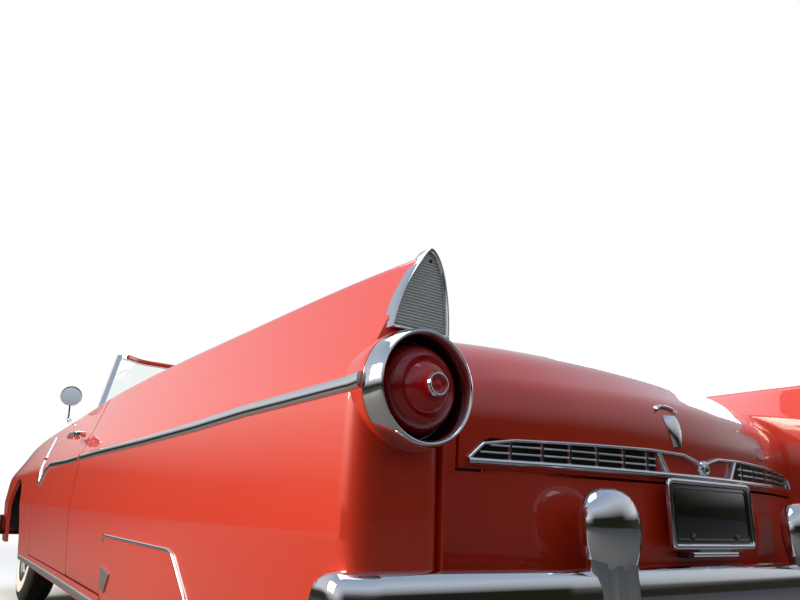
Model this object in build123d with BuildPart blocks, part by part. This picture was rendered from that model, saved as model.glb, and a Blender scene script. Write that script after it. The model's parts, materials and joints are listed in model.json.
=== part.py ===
"""Mid-1950s full-size two-door convertible, top folded, as an assembly of panels and running gear.

Frame: +X towards the nose, +Y to the left, +Z up. Origin on the ground under the middle of the car.
"""
from build123d import *
from math import cos, hypot, radians, sin
import os

os.makedirs("parts", exist_ok=True)

# Overall sizes and wheels
overall_length = 5042
overall_width = 1928
wheelbase = 2934
rear_overhang = 1320
front_track = 1473
rear_track = 1422
tyre_radius = 351
tyre_width = 168
rim_radius = 195
rim_wall = 5
hub_radius = 45
axle_end_radius = 20
running_clearance = 0.05
seat_clearance = 0.3

# Panels, gaps and shut lines
skin = 22
shut_gap = 6
hinge_gap = 8
door_front_x = 880
door_rear_x = -230
door_inner_y = 806
sill_top_z = 339
sill_inner_y = 782
sill_front_x = 1326
sill_rear_x = -868
body_inner_y = 745
firewall_x = 940
bulkhead_x = -880
cowl_front_x = 1010
lid_front_x = -1345
lid_half_width = 690
lid_low_z = 722
arch_radius = 395
hood_hinge_x = cowl_front_x + shut_gap + 25
lid_hinge_x = lid_front_x - 25
hinge_pad_y = 90
bumper_height = 135
bumper_wall = 14
rear_bumper_low = 418
front_bumper_low = 372
guard_reach = 22
guard_inner_y = 400
guard_width = 100
guard_top_z = 694
grille_half_width = 560
grille_low_z = 478
grille_high_z = 672
spring_y = 530
spring_width = 60
plate_x = -2464
plate_hinge_x = plate_x + 4
plate_hinge_z = 574
plate_barrel = 90
floor_thickness = 20
tunnel_half_width = 130
tunnel_height = 110
kickup_x = -560
seat_pan_z = 540
floor_sheet = 12
rail_height = 96
mount_eye_radius = 13
mount_eye_thickness = 12

# Places that follow from the overall sizes
rear_axle_x = -overall_length / 2 + rear_overhang
front_axle_x = rear_axle_x + wheelbase
axle_z = tyre_radius
tail_x = -overall_length / 2
nose_x = overall_length / 2
fender_end_x = tail_x + 81
fender_nose_x = nose_x - 81
hull_half_width = overall_width / 2 - 16
floor_z = sill_top_z - floor_thickness
front_horn_x = nose_x - guard_reach - bumper_wall - seat_clearance
rear_horn_x = -front_horn_x


def inset_outline(points, depth):
    """Corners of an open outline moved by depth to the left of its direction of travel."""
    lines = []
    for (u0, v0), (u1, v1) in zip(points, points[1:]):
        length = hypot(u1 - u0, v1 - v0)
        du, dv = (u1 - u0) / length, (v1 - v0) / length
        lines.append(((u0 - dv * depth, v0 + du * depth), (du, dv)))
    corners = [lines[0][0]]
    for ((u0, v0), (a, b)), ((u1, v1), (c, d)) in zip(lines, lines[1:]):
        along = ((u1 - u0) * d - (v1 - v0) * c) / (a * d - b * c)
        corners.append((u0 + a * along, v0 + b * along))
    (u0, v0), (du, dv) = lines[-1]
    length = hypot(points[-1][0] - points[-2][0], points[-1][1] - points[-2][1])
    corners.append((u0 + du * length, v0 + dv * length))
    return corners


# Body side stations. Columns: x, then y and z of the sill corner, the side crease,
# the moulding line, the fender ridge and the inner valley, then the ridge radius.
side_stations = [
    (-2500, 902, 392, 938, 600, 934, 846, 806, 1110, 745, 945, 20),
    (-2200, 908, 360, 943, 600, 937, 843, 826, 1108, 745, 985, 24),
    (-1700, 914, 315, 947, 599, 939, 833, 844, 1104, 745, 1012, 30),
    (-1201, 915, 290, 948, 598, 940, 824, 850, 1106, 745, 1028, 34),
    (-500, 910, 285, 948, 597, 940, 815, 852, 1102, 745, 1035, 36),
    (300, 905, 285, 948, 597, 940, 802, 848, 1072, 745, 1026, 40),
    (1100, 908, 290, 946, 596, 938, 788, 838, 1050, 732, 1006, 50),
    (1733, 910, 300, 945, 596, 935, 776, 826, 1030, 700, 982, 60),
    (2150, 908, 320, 941, 596, 930, 766, 816, 998, 650, 945, 70),
    (2500, 895, 345, 930, 596, 918, 760, 800, 940, 604, 885, 80),
]
crease_radius = 90
moulding_radius = 160


def side_form(depth):
    """Left body side from tail to nose; depth moves its outer faces in and opens it downwards."""
    drop = 80 if depth else 0
    with BuildPart() as form:
        for (x, sill_y, sill_z, crease_y, crease_z, mould_y, mould_z,
             ridge_y, ridge_z, valley_y, valley_z, ridge_radius) in side_stations:
            outline = [(sill_y, sill_z), (crease_y, crease_z), (mould_y, mould_z),
                       (ridge_y, ridge_z), (valley_y, valley_z)]
            if depth:
                outline = inset_outline(outline, depth)
            low_z = outline[0][1] - drop
            closing = [(valley_y - drop, outline[-1][1]), (valley_y - drop, low_z), (outline[0][0], low_z)]
            if not depth:
                closing = [(valley_y, low_z)]
            radii = [crease_radius, moulding_radius, max(ridge_radius - depth, 4)]
            with BuildSketch(Plane.YZ.offset(x)):
                with BuildLine():
                    FilletPolyline(*outline, radius=radii)
                    Polyline(outline[-1], *closing, outline[0])
                make_face()
        loft()
    return form.part


# Deck and hood sections across the car. Columns: y, then x and z of the inboard end,
# the knee, the top of the rear or front face and its foot.
deck_sections = [
    (0, -880, 1058, -2215, 1042, -2450, 880, -2432, 470),
    (370, -880, 1050, -2195, 1032, -2415, 872, -2398, 470),
    (620, -880, 1034, -2150, 1010, -2350, 850, -2334, 470),
    (820, -880, 1000, -2085, 973, -2290, 818, -2276, 470),
]
hood_sections = [
    (0, 430, 1072, 2290, 968, 2462, 856, 2452, 700),
    (370, 430, 1062, 2270, 945, 2440, 836, 2430, 700),
    (620, 430, 1038, 2240, 912, 2405, 812, 2396, 700),
    (820, 430, 1006, 2195, 874, 2362, 786, 2353, 700),
]
deck_radii = (360, 130)
hood_radii = (400, 110)


def crown_form(sections, radii, depth, turn):
    """Crowned panel lofted across the car; turn is 1 for the hood and -1 for the deck."""
    drop = 80
    rows = [(-row[0],) + row[1:] for row in reversed(sections[1:])] + sections
    with BuildPart() as form:
        for y, x0, z0, x1, z1, x2, z2, x3, z3 in rows:
            outline = [(x0, z0), (x1, z1), (x2, z2), (x3, z3)]
            closing = [(x0, z3)]
            if depth:
                outline = inset_outline(outline, -turn * depth)
                (start_x, start_z), (end_x, end_z) = outline[0], outline[-1]
                closing = [(end_x, end_z - drop), (start_x - turn * drop, end_z - drop),
                           (start_x - turn * drop, start_z)]
            bends = [radius - depth for radius in radii]
            with BuildSketch(Plane.XZ.offset(-y)):
                with BuildLine():
                    FilletPolyline(*outline, radius=bends)
                    Polyline(outline[-1], *closing, outline[0])
                make_face()
        loft()
    return form.part


def block(x0, x1, y0, y1, z0, z1):
    """Plain block between two corners, made outside any part in progress."""
    size = Box(abs(x1 - x0), abs(y1 - y0), abs(z1 - z0), mode=Mode.PRIVATE)
    return Pos((x0 + x1) / 2, (y0 + y1) / 2, (z0 + z1) / 2) * size


def save(name, shape):
    shape.label = name
    export_step(shape, f"parts/{name}.step")


def save_pair(name, shape):
    """Write the left piece and its mirror image on the right."""
    save(f"{name}_left", shape)
    save(f"{name}_right", shape.mirror(Plane.XZ))


far = overall_length
high = 1500

side_solid = side_form(0)
side_cavity = side_form(skin)
deck_solid = crown_form(deck_sections, deck_radii, 0, -1)
deck_cavity = crown_form(deck_sections, deck_radii, skin, -1)
hood_solid = crown_form(hood_sections, hood_radii, 0, 1)
hood_cavity = crown_form(hood_sections, hood_radii, skin, 1)

# Wheel openings
with BuildPart() as front_opening:
    with BuildSketch(Plane.XZ.offset(-body_inner_y + 60)):
        with Locations((front_axle_x, axle_z)):
            Circle(arch_radius)
            with Locations((0, -arch_radius / 2)):
                Rectangle(2 * arch_radius, arch_radius)
    extrude(amount=-400)
front_arch = front_opening.part

skirt_front_x = -880
skirt_rear_x = -1742
skirt_top_z = 534
skirt_low_z = 296
skirt_bend = 90
skirt_thickness = 24
rear_opening_line = [(skirt_front_x, 0), (skirt_front_x, skirt_top_z), (skirt_rear_x + 120, skirt_top_z),
                     (skirt_rear_x, skirt_top_z - 110), (skirt_rear_x - 30, 0)]
with BuildPart() as rear_opening:
    with BuildSketch(Plane.XZ.offset(-body_inner_y - 60)):
        with BuildLine():
            FilletPolyline(*rear_opening_line, radius=[30, skirt_bend, skirt_bend])
            Line(rear_opening_line[-1], rear_opening_line[0])
        make_face()
    extrude(amount=-400)
rear_arch = rear_opening.part

wheelhouse_radius = 402
wheelhouse_wall = 8
wheelhouse_inner_y = 575
wheelhouse_outer_y = 898
with BuildPart() as wheelhouse_form:
    with BuildSketch(Plane.XZ.offset(wheelhouse_wall - wheelhouse_inner_y)):
        with Locations((rear_axle_x, axle_z)):
            Circle(wheelhouse_radius + wheelhouse_wall)
    extrude(amount=wheelhouse_inner_y - wheelhouse_wall - wheelhouse_outer_y)
    mirror(about=Plane.XZ)
wheelhouse = wheelhouse_form.part

# Plan outline that rounds the fender ends, and the brow line of the front fenders
tail_corner = 60
nose_corner = 110
with BuildPart() as plan_limits:
    with BuildSketch(Plane.XY):
        with BuildLine():
            FilletPolyline((fender_end_x, 0), (fender_end_x, hull_half_width),
                           (fender_nose_x, hull_half_width), (fender_nose_x, 0),
                           radius=[tail_corner, nose_corner])
            Line((fender_nose_x, 0), (fender_end_x, 0))
        make_face()
    extrude(amount=high)
with BuildPart() as side_limits:
    with BuildSketch(Plane.XZ):
        with BuildLine():
            FilletPolyline((fender_end_x + 70, 0), (fender_end_x, 700), (fender_end_x, high),
                           (fender_nose_x, high), (fender_nose_x, 905), (fender_nose_x - 70, 640),
                           (fender_nose_x - 60, 0), radius=[200, 0, 0, 20, 60])
            Line((fender_nose_x - 60, 0), (fender_end_x + 70, 0))
        make_face()
    extrude(amount=-1000)
side_solid = side_solid & plan_limits.part & side_limits.part
bumper_notch = block(-far, fender_end_x + 46, 0, 1000, 0, rear_bumper_low + bumper_height + 8)

headlamp_y = 765
headlamp_z = 772
headlamp_radius = 112
lens_radius = 91
headlamp_back_x = fender_nose_x - 92

# Door opening's rear edge, slanted in plan so the door swings clear
door_edge_slant = 14


def behind_door(gap, low_z):
    """Everything behind the slanted rear edge of the left door, moved back by gap."""
    with BuildPart() as zone:
        with BuildSketch(Plane.XY.offset(low_z)):
            Polygon((-far, 0), (door_rear_x - gap + door_edge_slant, 0),
                    (door_rear_x - gap + door_edge_slant, door_inner_y), (door_rear_x - gap, hull_half_width),
                    (door_rear_x - gap, 1000), (-far, 1000), align=None)
        extrude(amount=high)
    return zone.part


# Rear quarter panels: thick beside the rear seat, a shell over the wheel and the trunk
with BuildPart() as quarter:
    add(side_solid)
    add(behind_door(shut_gap, 0), mode=Mode.INTERSECT)
    add(side_cavity & block(-far, bulkhead_x, 0, 1000, 0, high), mode=Mode.SUBTRACT)
    add(rear_arch, mode=Mode.SUBTRACT)
    add(block(skirt_front_x - 60, 0, 0, 1000, 0, sill_top_z), mode=Mode.SUBTRACT)
    add(block(bulkhead_x, 0, 0, door_inner_y, 0, high), mode=Mode.SUBTRACT)
    add(wheelhouse, mode=Mode.SUBTRACT)
    add(bumper_notch, mode=Mode.SUBTRACT)
save_pair("quarter_panel", quarter.part)

# Sills under the doors
with BuildPart() as sill:
    add(side_solid)
    add(block(sill_rear_x, sill_front_x, sill_inner_y, 1000, 0, sill_top_z), mode=Mode.INTERSECT)
    add(front_arch, mode=Mode.SUBTRACT)
    mirror(about=Plane.XZ)
save("sills", sill.part)

# Doors
door_low_z = sill_top_z + shut_gap
with BuildPart() as door:
    add(side_solid)
    add(block(-far, door_front_x, door_inner_y, 1000, door_low_z, high), mode=Mode.INTERSECT)
    add(behind_door(0, 0), mode=Mode.SUBTRACT)
save_pair("door", door.part)

# Front fenders
with BuildPart() as front_fender:
    add(side_solid)
    add(block(door_front_x + hinge_gap, far, 0, 1000, sill_top_z, high), mode=Mode.INTERSECT)
    add(side_cavity & block(0, fender_nose_x - 60, 0, 1000, 0, high), mode=Mode.SUBTRACT)
    add(front_arch, mode=Mode.SUBTRACT)
    with BuildSketch(Plane.YZ.offset(headlamp_back_x)):
        with Locations((headlamp_y, headlamp_z)):
            Circle(headlamp_radius + seat_clearance)
    extrude(amount=200, mode=Mode.SUBTRACT)
save_pair("front_fender", front_fender.part)

deck_half = body_inner_y - seat_clearance
deck_solid = deck_solid & block(-far, 0, -deck_half, deck_half, 0, high)

# Deck: back panels round the trunk opening, and the lid
with BuildPart() as lid_zone:
    with BuildSketch(Plane.XY.offset(lid_low_z)):
        with BuildLine():
            FilletPolyline((-far / 2, -lid_half_width), (lid_front_x, -lid_half_width),
                           (lid_front_x, lid_half_width), (-far / 2, lid_half_width),
                           (-far / 2, -lid_half_width), radius=[0, 90, 90, 0])
        make_face()
    extrude(amount=high - lid_low_z)
with BuildPart() as lid_hole:
    with BuildSketch(Plane.XY.offset(lid_low_z - shut_gap)):
        with BuildLine():
            FilletPolyline((-far / 2, -lid_half_width - shut_gap), (lid_front_x + shut_gap, -lid_half_width - shut_gap),
                           (lid_front_x + shut_gap, lid_half_width + shut_gap),
                           (-far / 2, lid_half_width + shut_gap),
                           (-far / 2, -lid_half_width - shut_gap), radius=[0, 96, 96, 0])
        make_face()
    extrude(amount=high - lid_low_z)

well_rear_x = -1250
with BuildPart() as back_panels:
    add(deck_solid)
    add(deck_cavity, mode=Mode.SUBTRACT)
    add(lid_hole.part, mode=Mode.SUBTRACT)
    add(block(well_rear_x, 0, -body_inner_y, body_inner_y, 0, high), mode=Mode.SUBTRACT)
    for side in (1, -1):
        pad_y = side * hinge_pad_y
        add(block(lid_front_x + 15, lid_front_x + 35, pad_y - 20, pad_y + 20, 985, 1035))
        add(block(lid_hinge_x - 40, lid_front_x + 35, pad_y - 20, pad_y + 20, 985, 1005))
        add(block(lid_hinge_x - 40, lid_hinge_x - 18, pad_y - 20, pad_y + 20, 985, high)
            & crown_form(deck_sections, deck_radii, skin + seat_clearance, -1))
    for low_y in (plate_barrel + seat_clearance, -plate_barrel - seat_clearance - 14):
        add(block(plate_hinge_x, plate_x + 34, low_y, low_y + 14, plate_hinge_z - 6, plate_hinge_z))
        with BuildSketch(Plane.XZ.offset(-low_y)):
            with Locations((plate_hinge_x, plate_hinge_z)):
                Circle(6)
        extrude(amount=-14)
save("back_panels", back_panels.part)

with BuildPart() as trunk_lid:
    add(deck_solid)
    add(deck_cavity, mode=Mode.SUBTRACT)
    add(lid_zone.part, mode=Mode.INTERSECT)
save("trunk_lid", trunk_lid.part)

# Hood and cowl
hood_shut = [(cowl_front_x + shut_gap, 728), (1100, 725), (1400, 712), (1733, 692), (2150, 642),
             (nose_x, 586)]
with BuildPart() as hood_zone:
    with BuildSketch(Plane.XY.offset(690)):
        with BuildLine():
            Polyline(*hood_shut, *[(x, -y) for x, y in reversed(hood_shut)], hood_shut[0])
        make_face()
    extrude(amount=high)
with BuildPart() as hood:
    add(hood_solid)
    add(hood_cavity, mode=Mode.SUBTRACT)
    add(hood_zone.part, mode=Mode.INTERSECT)
save("hood", hood.part)

screen_base = [(505, 774), (790, 620), (895, 0), (790, -620), (505, -774)]
screen_top = [(650, 680), (765, 540), (800, 0), (765, -540), (650, -680)]
screen_base_z = 1058
screen_top_z = 1428
screen_radii_base = [300, 900, 300]
screen_radii_top = [200, 900, 200]
glass = 8


def screen_outline(points, radii, thickness):
    """Closed crescent of the wraparound screen in plan."""
    inner = inset_outline(points, -thickness)
    with BuildSketch(Plane.XY, mode=Mode.PRIVATE) as crescent:
        with BuildLine():
            FilletPolyline(*points, radius=radii)
            FilletPolyline(*inner, radius=[r - thickness for r in radii])
            Line(points[0], inner[0])
            Line(points[-1], inner[-1])
        make_face()
    return crescent.sketch


# Windshield glass and its frame
with BuildPart() as windshield_glass:
    add(Pos(0, 0, screen_base_z + 4) * screen_outline(screen_base, screen_radii_base, glass))
    add(Pos(0, 0, screen_top_z - 4) * screen_outline(screen_top, screen_radii_top, glass))
    loft(ruled=True)
save("windshield_glass", windshield_glass.part)

with BuildPart() as header:
    add(Pos(0, 0, screen_top_z - 3.7) * screen_outline(inset_outline(screen_top, 10),
                                                       [r + 10 for r in screen_radii_top], 30))
    extrude(amount=26)
with BuildPart() as screen_foot:
    add(Pos(0, 0, screen_base_z - 60) * screen_outline(inset_outline(screen_base, 6),
                                                       [r + 6 for r in screen_radii_base], 20))
    extrude(amount=63.7)
with BuildPart() as left_post:
    with BuildSketch(Plane.XY.offset(screen_base_z - 20)):
        with Locations((473.2, 777)):
            Rectangle(34, 24)
    with BuildSketch(Plane.XY.offset(screen_top_z + 12)):
        with Locations((633.2, 678)):
            Rectangle(34, 24)
    loft()
with BuildPart() as windshield_frame:
    add(header.part)
    add(left_post.part)
    add(left_post.part.mirror(Plane.XZ))
    add(screen_foot.part)
save("windshield_frame", windshield_frame.part)

# Cowl with the firewall and the windshield pillars
pillar_inner_y = 741
pillar_outer_y = 794
dash_top_z = 1000
with BuildPart() as cowl:
    add(hood_solid & block(430, cowl_front_x, -pillar_inner_y, pillar_inner_y, 960, high))
    add(block(0, firewall_x, -700, 700, 0, dash_top_z), mode=Mode.SUBTRACT)
    add(block(firewall_x + 20, cowl_front_x, -700, 700, 0, dash_top_z), mode=Mode.SUBTRACT)
    add(block(firewall_x, firewall_x + 20, -pillar_inner_y, pillar_inner_y, floor_z, 970))
    add(block(firewall_x - 1, firewall_x + 21, -tunnel_half_width + 20, tunnel_half_width - 20,
              0, sill_top_z + tunnel_height - 20), mode=Mode.SUBTRACT)
    for side in (1, -1):
        pillar_top = side_solid if side > 0 else side_solid.mirror(Plane.XZ)
        inner, outer = side * (pillar_inner_y - 2), side * pillar_outer_y
        add(pillar_top & block(480, door_front_x, min(inner, outer), max(inner, outer), 960, high))
        add(block(door_front_x - 90, firewall_x + 20, min(inner, outer), max(inner, outer), sill_top_z, 962))
        for hinge_z in (440, 820):
            add(block(door_front_x - 89, door_front_x - 68, side * (pillar_outer_y - 1),
                      side * (door_inner_y - seat_clearance), hinge_z, hinge_z + 60))
        pad_y = side * hinge_pad_y
        add(block(cowl_front_x - 25, cowl_front_x - 2, pad_y - 20, pad_y + 20, 975, dash_top_z + 5))
        add(block(cowl_front_x - 25, hood_hinge_x + 40, pad_y - 20, pad_y + 20, 975, 993))
        add(block(hood_hinge_x + 18, hood_hinge_x + 40, pad_y - 20, pad_y + 20, 975, high)
            & crown_form(hood_sections, hood_radii, skin + seat_clearance, 1))
    add(windshield_frame.part, mode=Mode.SUBTRACT)
save("cowl", cowl.part)

# Floor with tunnel and seat bulkhead
with BuildPart() as floor_pan:
    add(block(kickup_x, firewall_x, -sill_inner_y, sill_inner_y, floor_z, sill_top_z))
    add(block(kickup_x, firewall_x, -tunnel_half_width, tunnel_half_width,
              floor_z, sill_top_z + tunnel_height))
    add(block(kickup_x - 100, firewall_x, -tunnel_half_width + 20, tunnel_half_width - 20,
              0, sill_top_z + tunnel_height - 20), mode=Mode.SUBTRACT)
    add(block(kickup_x, kickup_x + 20, -sill_inner_y, sill_inner_y, sill_top_z, seat_pan_z + floor_sheet))
    add(block(kickup_x - 10, kickup_x + 30, -tunnel_half_width + 20, tunnel_half_width - 20,
              0, sill_top_z + tunnel_height - 20), mode=Mode.SUBTRACT)
    add(block(bulkhead_x, kickup_x, -sill_inner_y, sill_inner_y, seat_pan_z, seat_pan_z + floor_sheet))
    add(block(bulkhead_x, bulkhead_x + 20, -body_inner_y, body_inner_y, seat_pan_z, 985))
    add(wheelhouse, mode=Mode.SUBTRACT)
save("floor_pan", floor_pan.part)

# Trunk floor with the wheel houses
with BuildPart() as trunk_floor:
    add(block(-2270, bulkhead_x, -880, 880, seat_pan_z - floor_sheet, seat_pan_z))
    add(deck_cavity & block(-far, -2260, -690, 690, seat_pan_z - floor_sheet, seat_pan_z))
    add(wheelhouse)
    with BuildSketch(Plane.XZ.offset(-wheelhouse_inner_y)):
        with Locations((rear_axle_x, axle_z)):
            Circle(wheelhouse_radius)
    extrude(amount=-400, mode=Mode.SUBTRACT)
    with BuildSketch(Plane.XZ.offset(wheelhouse_inner_y)):
        with Locations((rear_axle_x, axle_z)):
            Circle(wheelhouse_radius)
    extrude(amount=400, mode=Mode.SUBTRACT)
    add(block(-far, 0, -1000, 1000, -200, seat_pan_z - floor_sheet), mode=Mode.SUBTRACT)
save("trunk_floor", trunk_floor.part)

# Fender skirts, hung in the rear wheel openings
skirt_gap = 4
flange_reach = 16
skirt_edge = inset_outline(rear_opening_line, skirt_gap)
flange_edge = inset_outline(rear_opening_line, -flange_reach)
with BuildPart() as skirt_flange:
    add(side_form(skin + seat_clearance) - side_form(skin + seat_clearance + 6))
    with BuildSketch(Plane.XZ.offset(-body_inner_y - 60)):
        with BuildLine():
            FilletPolyline(*flange_edge, radius=[r + flange_reach for r in (30, skirt_bend, skirt_bend)])
            Line(flange_edge[-1], flange_edge[0])
        make_face()
    extrude(amount=-400, mode=Mode.INTERSECT)
    add(block(-far, bulkhead_x - 2, 0, 1000, 0, high), mode=Mode.INTERSECT)
with BuildPart() as skirt:
    add(side_solid - side_form(skirt_thickness))
    with BuildSketch(Plane.XZ.offset(-body_inner_y - 60)):
        with BuildLine():
            FilletPolyline(*skirt_edge, radius=[30 - skirt_gap, skirt_bend - skirt_gap, skirt_bend - skirt_gap])
            Line(skirt_edge[-1], skirt_edge[0])
        make_face()
    extrude(amount=-400, mode=Mode.INTERSECT)
    add(skirt_flange.part)
    add(block(-far, 0, 0, 1000, 0, skirt_low_z), mode=Mode.SUBTRACT)
    mirror(about=Plane.XZ)
save("fender_skirts", skirt.part)

# Tail lamps: jet-tube bezel, stepped red lens, and the clear lamp in the end of the fin
lamp_y = 836
lamp_z = 833
lamp_radius = 104
lip_x = tail_x + 24
with BuildPart() as tail_bezel:
    with BuildSketch(Plane.XY.offset(lamp_z)):
        with BuildLine():
            Polyline((fender_end_x, lamp_y + 80), (fender_end_x, lamp_y + lamp_radius),
                     (lip_x + 16, lamp_y + lamp_radius))
            ThreePointArc((lip_x + 16, lamp_y + lamp_radius), (lip_x, lamp_y + 95), (lip_x + 12, lamp_y + 84))
            Polyline((lip_x + 12, lamp_y + 84), (fender_end_x - 14, lamp_y + 76), (fender_end_x, lamp_y + 80))
        make_face()
    revolve(axis=Axis((0, lamp_y, lamp_z), (1, 0, 0)))
    mirror(about=Plane.XZ)
save("tail_lamp_bezels", tail_bezel.part)

# Columns: radius of the lens step and how far it stands behind the fender end
lens_steps = [(75, 14), (69, 26), (40, 34), (37, 56), (17, 62), (15, 76)]
with BuildPart() as tail_lens:
    for radius, reach in lens_steps:
        with BuildSketch(Plane.YZ.offset(fender_end_x - reach)):
            with Locations((lamp_y, lamp_z)):
                Circle(radius)
        extrude(amount=reach)

fin_lamp = [(759, 945), (882, 945), (862, 1003), (840, 1046), (806, 1078), (777, 1052), (762, 1003)]
fin_lamp_depth = 12
with tail_lens:
    with BuildSketch(Plane.YZ.offset(fender_end_x)):
        Polygon(*fin_lamp, align=None)
    extrude(amount=-fin_lamp_depth)
    mirror(about=Plane.XZ)
save("rear_lamp_lenses", tail_lens.part)

# Headlamps in the front fender ends: a hooded ring and a lens on its bucket
with BuildPart() as headlamps:
    with BuildSketch(Plane.XY.offset(headlamp_z)):
        with BuildLine():
            Polyline((headlamp_back_x, headlamp_y + lens_radius), (headlamp_back_x, headlamp_y + headlamp_radius),
                     (fender_nose_x + 4, headlamp_y + headlamp_radius),
                     (fender_nose_x + 14, headlamp_y + headlamp_radius - 6),
                     (fender_nose_x - 6, headlamp_y + lens_radius),
                     (headlamp_back_x, headlamp_y + lens_radius))
        make_face()
    revolve(axis=Axis((0, headlamp_y, headlamp_z), (1, 0, 0)))
    with BuildSketch(Plane.YZ.offset(headlamp_back_x)):
        with Locations((headlamp_y, headlamp_z)):
            Circle(lens_radius)
    extrude(amount=fender_nose_x - headlamp_back_x - 12)
    mirror(about=Plane.XZ)
save("headlamps", headlamps.part)

# Front panel between the fenders, with the grille in its opening
front_panel_x = 2330
front_panel_depth = 42
with BuildPart() as front_panel:
    add(block(front_panel_x, front_panel_x + front_panel_depth, -596, 596, 390 + seat_clearance, 694))
    add(block(front_panel_x - 10, front_panel_x + 60, -grille_half_width, grille_half_width,
              grille_low_z, grille_high_z), mode=Mode.SUBTRACT)
save("front_panel", front_panel.part)

grille_bars = 4
grille_posts = 17
grille_bar = 9
grille_border = 16
grille_middle_z = (grille_low_z + grille_high_z) / 2
grille_height = grille_high_z - grille_low_z
grille_x = front_panel_x + front_panel_depth
with BuildPart() as grille:
    with BuildSketch(Plane(origin=(grille_x, 0, grille_middle_z), x_dir=(0, 1, 0), z_dir=(1, 0, 0))):
        RectangleRounded(2 * (grille_half_width + grille_border), grille_height + 2 * grille_border, 36)
        RectangleRounded(2 * grille_half_width - 8, grille_height - 8, 20, mode=Mode.SUBTRACT)
    extrude(amount=30)
    with BuildSketch(Plane(origin=(grille_x + 4, 0, grille_middle_z), x_dir=(0, 1, 0), z_dir=(1, 0, 0))):
        with GridLocations(0, grille_height / (grille_bars + 1), 1, grille_bars):
            Rectangle(2 * grille_half_width, grille_bar)
        with GridLocations(2 * grille_half_width / (grille_posts + 1), 0, grille_posts, 1):
            Rectangle(grille_bar, grille_height)
    extrude(amount=18)
save("grille", grille.part)


def bumper_bar(end_x, low_z, outward, wrap):
    """Bowed bumper bar wrapped round the corners; outward is 1 at the nose and -1 at the tail."""
    half = overall_width / 2
    outer = [(end_x - outward * wrap, half - 4), (end_x - outward * 62, half),
             (end_x - outward * 30, half - 59), (end_x, 520),
             (end_x, -520), (end_x - outward * 30, 59 - half),
             (end_x - outward * 62, -half), (end_x - outward * wrap, 4 - half)]
    inner = inset_outline(outer, -outward * bumper_wall)
    radii = [40, 60, 300, 300, 60, 40]
    with BuildPart() as shell:
        with BuildSketch(Plane.XY.offset(low_z)):
            with BuildLine():
                FilletPolyline(*outer, radius=radii)
                FilletPolyline(*inner, radius=[r - bumper_wall for r in radii])
                Line(outer[0], inner[0])
                Line(outer[-1], inner[-1])
            make_face()
        extrude(amount=bumper_height)
    return shell.part


# Bumpers with their guards
guard_places = (guard_inner_y, -guard_inner_y - guard_width)
with BuildPart() as rear_bumper:
    add(bumper_bar(tail_x + guard_reach, rear_bumper_low, -1, 300))
    for low_y in guard_places:
        with BuildSketch(Plane.XZ.offset(-low_y)):
            with BuildLine():
                FilletPolyline((tail_x + 34, rear_bumper_low), (tail_x + 14, rear_bumper_low - 8),
                               (tail_x, 640), (tail_x + 26, guard_top_z), (tail_x + 84, guard_top_z - 20),
                               (tail_x + 34, 560), radius=[8, 60, 26, 20])
                Line((tail_x + 34, 560), (tail_x + 34, rear_bumper_low))
            make_face()
        extrude(amount=-guard_width)
save("rear_bumper", rear_bumper.part)

with BuildPart() as front_bumper:
    add(bumper_bar(nose_x - guard_reach, front_bumper_low, 1, 360))
    for low_y in guard_places:
        with BuildSketch(Plane.XZ.offset(-low_y)):
            with BuildLine():
                FilletPolyline((nose_x - 30, front_bumper_low), (nose_x - 4, front_bumper_low + 20),
                               (nose_x, 560), (nose_x - 24, 600), (nose_x - 80, 590), (nose_x - 34, 540),
                               radius=[8, 60, 24, 20])
                Line((nose_x - 34, 540), (nose_x - 30, front_bumper_low))
            make_face()
        extrude(amount=-guard_width)
save("front_bumper", front_bumper.part)

# Plate holder that hides the fuel filler, hinged at its foot
plate_half_width = 160
plate_low_z = 584
plate_high_z = 714
plate_wall = 8
with BuildPart() as plate_flap:
    add(block(plate_x, plate_x + plate_wall, -plate_half_width, plate_half_width, plate_low_z, plate_high_z))
    add(block(plate_x, plate_x + plate_wall, -60, 60, plate_hinge_z, plate_low_z))
    with BuildSketch(Plane.XZ.offset(-plate_barrel)):
        with Locations((plate_hinge_x, plate_hinge_z)):
            Circle(6)
    extrude(amount=2 * plate_barrel)
save("plate_flap", plate_flap.part)

# Round mirror on a stalk, on the left door
mirror_x = 772
mirror_y = 872
mirror_z = 1190
mirror_radius = 56
mirror_foot_y = 862
with BuildPart() as mirror_head:
    with BuildSketch(Plane.YZ.offset(mirror_x - 10)):
        with Locations((mirror_y, mirror_z)):
            Circle(mirror_radius)
    extrude(amount=18)
    with BuildSketch(Plane.XY.offset(960)):
        with Locations((mirror_x + 4, mirror_foot_y)):
            Circle(15)
    extrude(amount=96)
    with BuildSketch(Plane.XY.offset(1050)):
        with Locations((mirror_x + 4, mirror_foot_y + 3)):
            Circle(6)
    extrude(amount=110)
    add(door.part, mode=Mode.SUBTRACT)
save("mirror", mirror_head.part.solids().sort_by(Axis.Z)[-1])

# Dashboard, steering column and steering wheel
wheel_tilt = 24
steer_y = 370
steer_centre = Vector(120, steer_y, 960)
column_axis = Vector(-cos(radians(wheel_tilt)), 0, sin(radians(wheel_tilt)))
column_plane = Plane(origin=steer_centre, x_dir=(0, 1, 0), z_dir=column_axis)
steering_wheel_radius = 215
column_radius = 24
hub_depth = 22
with BuildPart() as column:
    with BuildSketch(column_plane.offset(-hub_depth - seat_clearance)):
        Circle(column_radius)
    extrude(amount=-560)

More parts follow.
